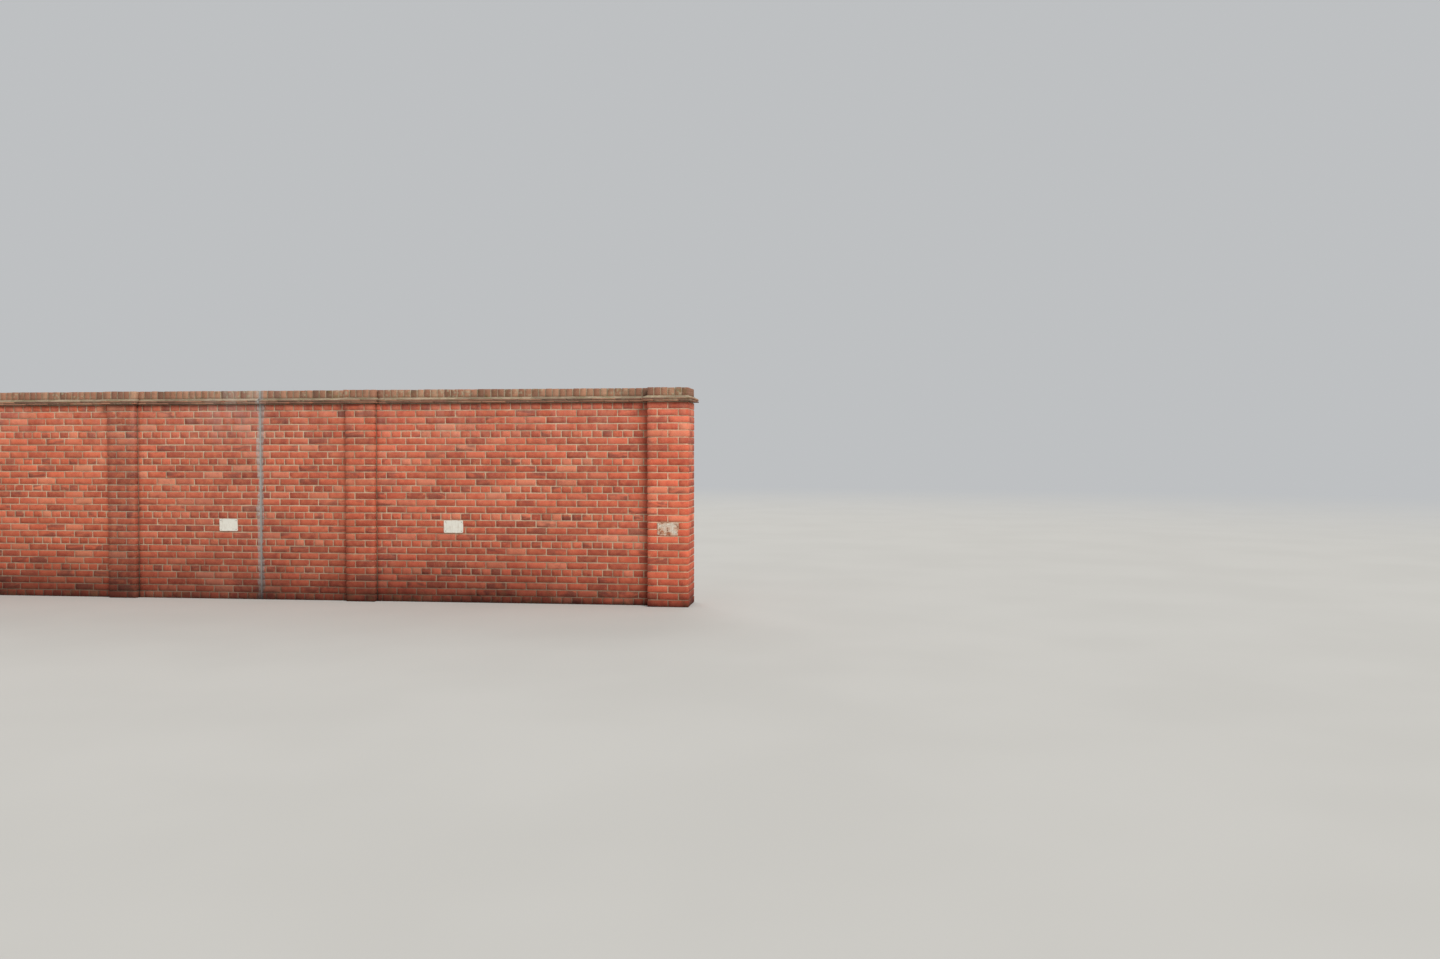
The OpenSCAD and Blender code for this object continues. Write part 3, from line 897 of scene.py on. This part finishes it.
def panel(node, modules, seed, tint, start_gap=J / 2, swells=()):
    lo, hi = corners(node)
    x_line = lo[0] + start_gap
    courses = int(round((hi[2] - lo[2]) / C))
    sides = {"front": (NEG_Y, STRETCHER, HEADER), "back": (POS_Y, STRETCHER_B, HEADER_B)}
    for key, (side, long_lat, short_lat) in sides.items():
        long_, short = [], []
        for c in range(courses):
            z0 = lo[2] + c * C + J / 2
            z1 = z0 + BH
            for a, b, whole in course_spans(course_kind(c), x_line, modules):
                a, b = max(a, lo[0] + 0.0015), min(b, hi[0] - 0.0015)
                if b - a < 0.02:
                    continue
                y = (lo[1], lo[1] + DEEP) if side == NEG_Y else (hi[1] - DEEP, hi[1])
                (long_ if whole else short).append((a, b, *y, z0, z1))
        mk = Maker(Charts(lo, hi, [side]), seed + (0 if side == NEG_Y else 500))
        mk.add(long_lat, long_, side, tint=tinted(long_, tint, swells), spall=0.012)
        mk.add(short_lat, short, side, tint=tinted(short, tint, swells), spall=0.012)
        place(mk.build(f"{node}_bricks_{key}", [mat_wall]), "wall_brick", node)
    mk = Maker(Charts(lo, hi, [NEG_Y, POS_Y]), seed + 900)
    core(mk, lo, hi, (0, 0, RECESS, RECESS, 0, 0))
    place(mk.build(f"{node}_mortar", [mat_mortar], mapped=False), "wall_brick", node)


def pier(node, n, seed, mat, slot, tint):
    lo, hi = corners(node)
    courses = int(round((hi[2] - lo[2]) / C))
    x0, x1, y0, y1 = lo[0], hi[0], lo[1], hi[1]
    long_x, long_y = {NEG_Y: [], POS_Y: []}, {NEG_Y: [], POS_Y: [], NEG_X: [], POS_X: []}
    for c in range(courses):
        z0 = lo[2] + c * C + J / 2
        z = (z0, z0 + BH)
        if n == 3:  # four bricks set round the middle, turned the other way in the next course
            a = (x0, x0 + BL, y0, y0 + BW)
            b = (x1 - BW, x1, y0, y0 + BL)
            d = (x1 - BL, x1, y1 - BW, y1)
            e = (x0, x0 + BW, y1 - BL, y1)
            if c % 2:
                flip = lambda q: (x0 + x1 - q[1], x0 + x1 - q[0], q[2], q[3])
                a, b, d, e = flip(a), flip(b), flip(d), flip(e)
            long_x[NEG_Y].append((*a, *z))
            long_y[NEG_Y].append((*b, *z))
            long_x[POS_Y].append((*d, *z))
            long_y[POS_Y].append((*e, *z))
        elif c % 2 == 0:  # stretchers to the front and back, one stretcher in each side
            for s, ya in ((NEG_Y, y0), (POS_Y, y1 - BW)):
                long_x[s].append((x0, x0 + BL, ya, ya + BW, *z))
                long_x[s].append((x1 - BL, x1, ya, ya + BW, *z))
            ym = (y0 + BW + J, y1 - BW - J)
            long_y[NEG_X].append((x0, x0 + BW, *ym, *z))
            long_y[POS_X].append((x1 - BW, x1, *ym, *z))
        else:  # the same, turned by a quarter
            for xa in (x0, x1 - BW):
                long_y[NEG_Y].append((xa, xa + BW, y0, y0 + BL, *z))
                long_y[POS_Y].append((xa, xa + BW, y1 - BL, y1, *z))
            xm = (x0 + BW + J, x1 - BW - J)
            long_x[NEG_Y].append((*xm, y0, y0 + BW, *z))
            long_x[POS_Y].append((*xm, y1 - BW, y1, *z))
    mk = Maker(Charts(lo, hi, [NEG_Y, POS_X, POS_Y, NEG_X]), seed)
    for s, boxes in long_x.items():
        mk.add(WHOLE_X, boxes, s, tint=tint, chips=0.16)
    for s, boxes in long_y.items():
        mk.add(WHOLE_Y, boxes, s, tint=tint, chips=0.16)
    place(mk.build(f"{node}_bricks", [mat]), slot, node)
    mk = Maker(Charts(lo, hi, [NEG_Y, POS_X, POS_Y, NEG_X]), seed + 900)
    core(mk, lo, hi, (RECESS, RECESS, RECESS, RECESS, 0, 0), tint=tint)
    place(mk.build(f"{node}_mortar", [mat_mortar], mapped=False), slot, node)


panel("panel_1", 22, 101, (1.03, 1.02, 0.99))
panel("panel_2", 22, 102, (1.05, 1.05, 0.99))
DUSKY = (1.0, 0.85, (0.89, 0.925, 0.98))     # the wall is duller on the left of the movement joint
panel("panel_3_left", 13, 103, (0.965, 0.98, 0.985), swells=[DUSKY])
panel("panel_3_right", 9, 104, (0.965, 0.98, 0.985), start_gap=-0.009, swells=[DUSKY])
# panel_4 is tinted lighter beside pier_c and beside the end pier: painted light that offsets the shade those piers
# throw on it
panel("panel_4", 27, 105, (1.0, 0.985, 1.0), swells=[(2.75, 0.5, (1.07, 1.02, 1.02)), (5.78, 0.55, (1.12, 1.06, 1.06))])
pier("end_pier_left", 4, 201, mat_end, "end_pier_brick", (1.06, 1.03, 1.0))
pier("pier_a", 3, 202, mat_pier, "pier_brick", (0.90, 0.92, 0.95))
# pier_b and pier_c, with their mortar, are tinted darker: painted shade standing in for the shade these piers throw
pier("pier_b", 3, 203, mat_pier, "pier_brick", (0.70, 0.74, 0.77))
pier("pier_c", 3, 204, mat_pier, "pier_brick", (0.94, 0.86, 0.83))
pier("end_pier_right", 4, 205, mat_end, "end_pier_brick", (1.17, 1.05, 1.02))

# ------------------------------------------------------ creasing and coping
WALL_H = 2.175
BED, TILE_T = 0.006, 0.014
Z1 = WALL_H + BED             # first layer of tiles
Z2 = Z1 + TILE_T + BED        # second layer
ZT = Z2 + TILE_T              # top of the tiles
ZC = ZT + J                   # foot of the coping
ZTOP = ZC + BW
OUT = 0.045
BACK = 0.007
HAUNCH = 0.026


def cut_lines(a, b, pitch, offset):
    """Joint lines from a to b: whole tiles of one pitch, cut ones at the ends."""
    lines, q = [a], a + offset
    while q < b - 0.03:
        if q > a + 0.03:
            lines.append(q)
        q += pitch
    return lines + [b]


def tiles(mk, x0, x1, y0, y1, z, rows, offset, sides, seed_tint):
    """One layer of tiles over a rectangle; rows gives the joint lines across."""
    g = 0.0025
    first, other = {NEG_Y: [], POS_Y: [], NEG_X: [], POS_X: []}, []
    for r in range(len(rows) - 1):
        ya, yb = rows[r], rows[r + 1]
        xs = cut_lines(x0, x1, 0.27, offset if r % 2 == 0 else (offset + 0.135) % 0.27)
        for c in range(len(xs) - 1):
            a, b = xs[c] + (0 if c == 0 else g), xs[c + 1] - (0 if c == len(xs) - 2 else g)
            lo_y, hi_y = ya + (0 if r == 0 else g), yb - (0 if r == len(rows) - 2 else g)
            box = (a, b, lo_y, hi_y, z, z + TILE_T)
            if r == 0:
                first[NEG_Y].append(box)
            elif r == len(rows) - 2:
                first[POS_Y].append(box)
            elif c == 0 and NEG_X in sides:
                first[NEG_X].append(box)
            elif c == len(xs) - 2 and POS_X in sides:
                first[POS_X].append(box)
            else:
                first[NEG_Y].append(box)
    for s, boxes in first.items():
        mk.add(TILE, boxes, s, jitter=1.3, relief=0.0006, chips=0.25, flare=0.0018, skew=1.2, round_=0.0009, tint=seed_tint)


def ring_mesh(rings):
    """Closed mesh through rings of points, each ring a closed loop, with a cap at both ends."""
    n = len(rings[0])
    v = np.concatenate(rings)
    faces = []
    for r in range(len(rings) - 1):
        for i in range(n):
            a, b = r * n + i, r * n + (i + 1) % n
            faces.append([a, b, b + n, a + n])
    faces.append(list(range(n))[::-1])
    last = (len(rings) - 1) * n
    faces.append([last + i for i in range(n)])
    return v, faces


def rect_ring(x0, x1, y0, y1, z, nx, ny):
    """Points round a rectangle, anticlockwise from above."""
    pts = [(x0 + (x1 - x0) * i / nx, y0) for i in range(nx)]
    pts += [(x1, y0 + (y1 - y0) * i / ny) for i in range(ny)]
    pts += [(x1 - (x1 - x0) * i / nx, y1) for i in range(nx)]
    pts += [(x0, y1 - (y1 - y0) * i / ny) for i in range(ny)]
    p = np.zeros((len(pts), 3))
    p[:, :2], p[:, 2] = pts, z
    return p


def haunch_hipped(mk, x0, x1, y0, y1, hx0, hx1, hy0, hy1):
    """The trowelled mortar that falls from the coping to the tile edge."""
    nx, ny = max(4, int((x1 - x0) / 0.03)), max(4, int((y1 - y0) / 0.03))
    rings = []
    for t, up in ((0, 0.0), (0, 0.004), (0.35, 0.013), (0.7, 0.021), (1.0, HAUNCH), (1.02, HAUNCH + 0.0005)):
        a = 0.0 if t == 0 else t
        ring = rect_ring(
            x0 + (hx0 - x0) * a, x1 + (hx1 - x1) * a, y0 + (hy0 - y0) * a, y1 + (hy1 - y1) * a, ZT + up, nx, ny
        )
        if 0 < t <= 1:
            ring[:, 2] += (vnoise(ring, 0.05, 31) - 0.5) * 0.004
            shove = (vnoise(ring + 9, 0.06, 32) - 0.5) * 0.004
            centre = ring.mean(0)
            d = ring[:, :2] - centre[:2]
            ring[:, :2] += d / np.maximum(np.linalg.norm(d, axis=1, keepdims=True), 1e-6) * shove[:, None]
        rings.append(ring)
    v, faces = ring_mesh(rings)
    mk.raw(v, faces, material=0)


def haunch_straight(mk, x0, x1, w, foot, sign):
    """The same along a straight length, on one side of the coping."""
    n = max(2, int(round((x1 - x0) / 0.04)))
    rings = []
    for i in range(n + 1):
        x = x0 + (x1 - x0) * i / n
        prof = np.array([
            (foot, 0.0), (foot, 0.004), (foot - 0.013, 0.012), (foot - 0.028, 0.0195),
            (w + 0.0005, HAUNCH), (w - 0.006, HAUNCH - 0.002), (w - 0.006, 0.0),
        ])
        q = np.zeros((len(prof), 3))
        q[:, 0], q[:, 1], q[:, 2] = x, prof[:, 0] * sign, ZT + prof[:, 1]
        k = [2, 3, 4]
        q[k, 2] += (vnoise(q[k], 0.05, 33) - 0.5) * 0.004
        q[1:4, 1] += (vnoise(q[1:4] + 7, 0.06, 34) - 0.5) * 0.003
        rings.append(q)
    v, faces = ring_mesh(rings)
    if sign < 0:
        faces = [f[::-1] for f in faces]
    mk.raw(v, faces, material=0)


def creasing_straight(node, seed):
    lo, hi = corners(node)
    x0, x1 = lo[0], hi[0]
    y0, y1 = lo[1], hi[1]
    mk = Maker(Charts((x0, y0, Z1), (x1, y1, ZT), [NEG_Y, POS_Z, POS_Y], stack=True, gap=0.02), seed)
    tiles(mk, x0, x1, y0, y1, Z1, [y0, y0 + 0.165, y1], 0.09, (), (0.95, 0.95, 0.95))
    tiles(mk, x0, x1, y0, y1, Z2, [y0, y1 - 0.165, y1], 0.22, (), (1, 1, 1))
    place(mk.build(f"{node}_tiles", [mat_tile], mapped=False), "creasing_tile", node)
    mk = Maker(Charts((x0, y0, WALL_H), (x1, y1, ZT), [NEG_Y, POS_Y], stack=True), seed + 7)
    w = BL / 2
    core(mk, (x0, -w, WALL_H), (x1, w, Z1), (0, 0, 0.003, 0.003, 0, 0), (0.05, 0.1, 0.006), 0.002)
    core(mk, (x0, y0 + BACK, Z1 + TILE_T - 0.0015), (x1, y1 - BACK, Z2 + 0.0015), (0, 0, 0.001, 0.001, 0, 0), (0.04, 0.1, 0.01), 0.004)
    for s in (-1, 1):
        haunch_straight(mk, x0, x1, w, w + OUT - 0.003, s)
    core(mk, (x0, -w, ZT - 0.001), (x1, w, ZC + 0.001), (0, 0, 0.004, 0.004, 0, 0), (0.05, 0.1, 0.012), 0.002)
    place(mk.build(f"{node}_mortar", [mat_bed], mapped=False), "creasing_tile", node)


def creasing_pier(node, body, seed, coping_w, run_l, run_r):
    lo, hi = corners(node)
    blo, bhi = corners(body)
    x0, x1 = blo[0] - OUT, bhi[0] + OUT
    y0, y1 = blo[1] - OUT, bhi[1] + OUT
    cx = (blo[0] + bhi[0]) / 2
    d = y1 - y0
    sides = [NEG_Y, POS_Y, NEG_X, POS_X]
    mk = Maker(Charts((x0, y0, Z1), (x1, y1, ZT), sides + [POS_Z], stack=True, gap=0.02), seed)
    rows1 = [y0, y0 + 0.165, y1 - (d - 0.33) if d - 0.33 < 0.165 else y0 + 0.33, y1]
    rows2 = [y0, y1 - 0.33, y1 - 0.165, y1]
    rows1 = sorted(set(np.round(rows1, 4)))
    rows2 = sorted(set(np.round(rows2, 4)))
    tiles(mk, x0, x1, y0, y1, Z1, rows1, 0.12, (NEG_X, POS_X), (0.95, 0.95, 0.95))
    tiles(mk, x0, x1, y0, y1, Z2, rows2, 0.24, (NEG_X, POS_X), (1, 1, 1))
    place(mk.build(f"{node}_tiles", [mat_tile], mapped=False), "creasing_tile", node)
    mk = Maker(Charts((x0, y0, WALL_H), (x1, y1, ZT), sides, stack=True), seed + 7)
    core(mk, (blo[0], blo[1], WALL_H), (bhi[0], bhi[1], Z1), (0.003,) * 4 + (0, 0), (0.05, 0.05, 0.006), 0.002)
    w = BL / 2
    strip = (x0 if run_l else blo[0], x1 if run_r else bhi[0])
    core(mk, (strip[0], -w, WALL_H), (strip[1], w, Z1), (0, 0, 0.003, 0.003, 0, 0), (0.05, 0.1, 0.006), 0.002)
    core(mk, (x0 + BACK, y0 + BACK, Z1 + TILE_T - 0.0015), (x1 - BACK, y1 - BACK, Z2 + 0.0015), (0.001,) * 4 + (0, 0), (0.04, 0.04, 0.01), 0.004)
    haunch_hipped(
        mk, x0 + 0.003, x1 - 0.003, y0 + 0.003, y1 - 0.003,
        cx - coping_w / 2, cx + coping_w / 2, blo[1], bhi[1]
    )
    core(mk, (strip[0], -w, ZT - 0.001), (strip[1], w, ZC + 0.001), (0, 0, 0.004, 0.004, 0, 0), (0.05, 0.1, 0.012), 0.002)
    place(mk.build(f"{node}_mortar", [mat_bed], mapped=False), "creasing_tile", node)


def coping_straight(node, seed):
    """Brick on edge; the bricks' spacing is eased so that whole bricks fill the length."""
    lo, hi = corners(node)
    length = hi[0] - lo[0]
    n = int(round(length / C))
    pitch = length / n
    boxes = [(lo[0] + k * pitch + (pitch - BH) / 2, lo[0] + k * pitch + (pitch + BH) / 2, lo[1], hi[1], lo[2], hi[2]) for k in range(n)]
    mk = Maker(Charts(lo, hi, [NEG_Y, POS_Z, POS_Y], stack=True), seed)
    mk.add(ON_EDGE, boxes, POS_Z, jitter=1.5, relief=0.0012, chips=0.30, flare=0.003, round_=0.002)
    place(mk.build(f"{node}_bricks", [mat_coping]), "coping_brick", node)
    mk = Maker(Charts(lo, hi, [NEG_Y, POS_Z, POS_Y], stack=True), seed + 7)
    core(mk, lo, hi, (0.001, 0.001, 0.004, 0.004, 0, 0.005), (0.0375, 0.05, 0.034), 0.003)
    place(mk.build(f"{node}_mortar", [mat_bed]), "coping_brick", node)


def coping_pier(node, seed, n, pier_depth):
    lo, hi = corners(node)
    boxes_f, boxes_b = [], []
    for k in range(n):
        x = (lo[0] + k * C, lo[0] + k * C + BH)
        z = (lo[2], hi[2])
        front = BL if (k % 2 == 0 or pier_depth == 4) else BW
        back = BL if (k % 2 == 1 or pier_depth == 4) else BW
        boxes_f.append((*x, lo[1], lo[1] + front, *z))
        boxes_b.append((*x, hi[1] - back, hi[1], *z))
    sides = [POS_Z, NEG_Y, POS_Y, NEG_X, POS_X]
    mk = Maker(Charts(lo, hi, sides, stack=True), seed)
    for b in (boxes_f, boxes_b):
        mk.add(ON_EDGE, b, POS_Z, jitter=1.5, relief=0.0012, chips=0.30, flare=0.003, round_=0.002)
    place(mk.build(f"{node}_bricks", [mat_coping]), "coping_brick", node)
    mk = Maker(Charts(lo, hi, sides, stack=True), seed + 7)
    core(mk, lo, hi, (0.004, 0.004, 0.004, 0.004, 0, 0.005), (0.0375, 0.04, 0.034), 0.003)
    place(mk.build(f"{node}_mortar", [mat_bed]), "coping_brick", node)


for i, key in enumerate(("panel_1", "panel_2", "panel_3_left", "panel_3_right", "panel_4")):
    creasing_straight(f"creasing_{key}", 301 + i)
    coping_straight(f"coping_{key}", 401 + i)
creasing_pier("creasing_end_left", "end_pier_left", 311, 0.44, False, True)
creasing_pier("creasing_pier_a", "pier_a", 312, 0.365, True, True)
creasing_pier("creasing_pier_b", "pier_b", 313, 0.365, True, True)
creasing_pier("creasing_pier_c", "pier_c", 314, 0.365, True, True)
creasing_pier("creasing_end_right", "end_pier_right", 315, 0.44, True, False)
coping_pier("coping_end_left", 411, 6, 4)
coping_pier("coping_pier_a", 412, 5, 3)
coping_pier("coping_pier_b", 413, 5, 3)
coping_pier("coping_pier_c", 414, 5, 3)
coping_pier("coping_end_right", 415, 6, 4)


# ----------------------------------------------------------- movement joint
def movement_joint():
    """Sealant tooled to a shallow hollow, carried over the creasing and the coping."""
    lo, hi = corners("movement_joint")
    x0, x1 = lo[0], hi[0]
    w, o = BL / 2 - 0.004, BL / 2 + OUT - BACK
    path = []
    n = 58
    for k in range(n + 1):
        path.append((-w, 0.0 + Z1 * k / n))
    path += [(-o, Z1 + 0.0005), (-o, (Z1 + ZT) / 2), (-o, ZT), (-w, ZT + 0.0005)]
    for k in range(1, 5):
        path.append((-w, ZT + (hi[2] - ZT) * k / 4))
    for k in range(1, 8):
        path.append((-w + 2 * w * k / 8, hi[2]))
    front = np.array(path)
    back = np.array([(-y, z) for y, z in path[: n + 9]][::-1])
    loop = np.concatenate([front, back])
    centre = np.array([0.0, 1.1])
    rings = []
    cols = ((0.0, 0.0), (0.18, 0.35), (0.5, 1.0), (0.82, 0.35), (1.0, 0.0))
    dense = loop
    nxt, prv = np.roll(dense, -1, 0), np.roll(dense, 1, 0)
    tan = nxt - prv
    tan /= np.maximum(np.linalg.norm(tan, axis=1, keepdims=True), 1e-9)
    out = np.stack([-tan[:, 1], tan[:, 0]], 1)
    for t, dip in cols:
        p = np.zeros((len(dense), 3))
        p[:, 0] = x0 + (x1 - x0) * t
        off = dip * 0.0026
        p[:, 1:] = dense - out * off
        p[:, 1:] += out * ((vnoise(np.c_[dense[:, 0], dense[:, 1], np.full(len(dense), t)], 0.05, 41) - 0.5) * 0.0016 * (1 if 0 < t < 1 else 0))[:, None]
        p[:, 2] = np.maximum(p[:, 2], 0.0)
        rings.append(p)
    v, faces = ring_mesh(rings)
    # ring_mesh runs from low x to high x: turn the faces outwards
    mk = Maker(Charts(lo, hi, [NEG_Y]), 601)
    mk.raw(v, faces)
    ob = mk.build("movement_joint_sealant", [mat_seal], mapped=False)
    import bmesh
    bm = bmesh.new()
    bm.from_mesh(ob.data)
    bmesh.ops.recalc_face_normals(bm, faces=bm.faces)
    bm.to_mesh(ob.data)
    bm.free()
    place(ob, "joint_sealant", "movement_joint")


movement_joint()


# ------------------------------------------------------------------- plates
def rounded(w, h, r, n=8):
    pts = []
    for cx, cz, a0 in ((w / 2 - r, -h / 2 + r, -90), (w / 2 - r, h / 2 - r, 0), (-w / 2 + r, h / 2 - r, 90), (-w / 2 + r, -h / 2 + r, 180)):
        for i in range(n + 1):
            a = math.radians(a0 + 90 * i / n)
            pts.append((cx + r * math.cos(a), cz + r * math.sin(a)))
    return np.array(pts)


def marker_plate(node, seed, tint=(1, 1, 1), age=0.0):
    lo, hi = corners(node)
    w, h, t = hi[0] - lo[0], hi[2] - lo[2], hi[1] - lo[1]
    cx, cz = (lo[0] + hi[0]) / 2, (lo[2] + hi[2]) / 2
    mk = Maker(Charts(lo, hi, [NEG_Y]), seed)
    rings, wear = [], []
    for inset, y, k in ((0.0, hi[1], 0), (0.0, lo[1] + 0.0012, 1), (0.0004, lo[1] + 0.0005, 1), (0.0014, lo[1], 0.6), (0.006, lo[1], 0), (0.010, lo[1] + 0.0007, 0), (0.014, lo[1] + 0.0007, 0)):
        o = rounded(w - 2 * inset, h - 2 * inset, max(0.014 - inset, 0.003))
        ring = np.zeros((len(o), 3))
        ring[:, 0], ring[:, 1], ring[:, 2] = cx + o[:, 0], y, cz + o[:, 1]
        rings.append(ring)
        wear.append(np.full(len(o), k, float))
    v, faces = ring_mesh(rings)
    mk.raw(v, faces, tint=tint, wear=np.concatenate(wear) + age)
    ob = mk.build(f"{node}_enamel", [mat_plate], mapped=False)
    ob.data.polygons.foreach_set("use_smooth", np.array([len(p.vertices) == 4 for p in ob.data.polygons]))
    place(ob, "plate_enamel", node)
    mk = Maker(Charts(lo, hi, [NEG_Y]), seed + 1)
    face = lo[1] + 0.0007
    for sx in (-1, 1):
        for sz in (-1, 1):
            rings = []
            for r, d in ((0.0052, -0.002), (0.0052, 0.0002), (0.0050, 0.0009), (0.0042, 0.0017), (0.0028, 0.0023), (0.0019, 0.0025), (0.0017, 0.0024), (0.0015, 0.0010), (0.0004, 0.0008)):
                a = np.arange(16) * 2 * math.pi / 16
                ring = np.zeros((16, 3))
                ring[:, 0] = cx + sx * (w / 2 - 0.020) + r * np.cos(a)
                ring[:, 2] = cz + sz * (h / 2 - 0.020) + r * np.sin(a)
                ring[:, 1] = face - d
                rings.append(ring)
            v, faces = ring_mesh(rings)
            mk.raw(v, faces)
    ob = mk.build(f"{node}_screws", [mat_screw], mapped=False)
    place(ob, "plate_enamel")


marker_plate("marker_plate_left", 701)
marker_plate("marker_plate_middle", 711)
marker_plate("marker_plate_right", 721, (0.96, 0.93, 0.89), 0.5)

# -------------------------------------------------------------------- stage
scene = bpy.context.scene
scene.view_settings.view_transform = "Standard"
scene.view_settings.look = "None"

SKY = (0.515, 0.528, 0.540, 1.0)
world = bpy.data.worlds.new("studio")
scene.world = world
world.use_nodes = True
world.node_tree.nodes["Background"].inputs[0].default_value = SKY
world.node_tree.nodes["Background"].inputs[1].default_value = 1.0

me = bpy.data.meshes.new("studio_floor")
seg, radius = 96, 90.0
pts = [(0.0, 0.0, 0.0)]
pts += [(radius * math.cos(2 * math.pi * i / seg), radius * math.sin(2 * math.pi * i / seg), 0.0) for i in range(seg)]
me.from_pydata(pts, [], [(0, 1 + i, 1 + (i + 1) % seg) for i in range(seg)])
floor = bpy.data.objects.new("studio_floor", me)
scene.collection.objects.link(floor)
n = Nodes("studio_floor")
fx, fy, _ = n.xyz(n.coord)
far = n.math("SQRT", n.math("ADD", n.math("MULTIPLY", fx, fx), n.math("MULTIPLY", fy, fy)))
grain = n.noise(n.coord, 0.6, 2.0, 0.5)
n.finish(n.mix(n.step(grain, 0.3, 0.7), srgb(190, 188, 183), srgb(193, 191, 186)), 0.95, specular=0.05)
glow = n.nt.nodes.new("ShaderNodeEmission")
glow.inputs[0].default_value = SKY
blend = n.nt.nodes.new("ShaderNodeMixShader")
n.put(blend.inputs[0], n.step(far, 14.0, 48.0))
n.put(blend.inputs[1], n.bsdf.outputs[0])
n.put(blend.inputs[2], glow.outputs[0])
n.put(n.out.inputs["Surface"], blend.outputs[0])
me.materials.append(n.m)


def lamp(name, location, target, energy, degrees, colour):
    data = bpy.data.lights.new(name, "SUN")
    data.energy, data.angle, data.color = energy, math.radians(degrees), colour
    ob = bpy.data.objects.new(name, data)
    ob.location = location
    ob.rotation_euler = (Vector(target) - Vector(location)).to_track_quat("-Z", "Y").to_euler()
    scene.collection.objects.link(ob)


lamp("key", (8.0, -11.0, 11.0), (0.0, 0.0, 0.5), 2.02, 26, (1.0, 0.975, 0.94))
lamp("side", (12.0, -8.0, 8.0), (0.0, 0.0, 0.5), 0.70, 45, (1.0, 0.98, 0.96))
lamp("rear", (-4.0, 12.0, 9.0), (0.0, 0.0, 0.5), 0.75, 40, (0.95, 0.97, 1.0))

cam_data = bpy.data.cameras.new("camera")
cam_data.sensor_width = 36.0
cam_data.lens = 28.0
cam_data.clip_end = 300.0
cam = bpy.data.objects.new("camera", cam_data)
cam.location = (7.89, -11.90, 1.60)
cam.rotation_euler = (math.radians(90 - 1.2), 0.0, math.radians(6.7))
scene.collection.objects.link(cam)
scene.camera = cam
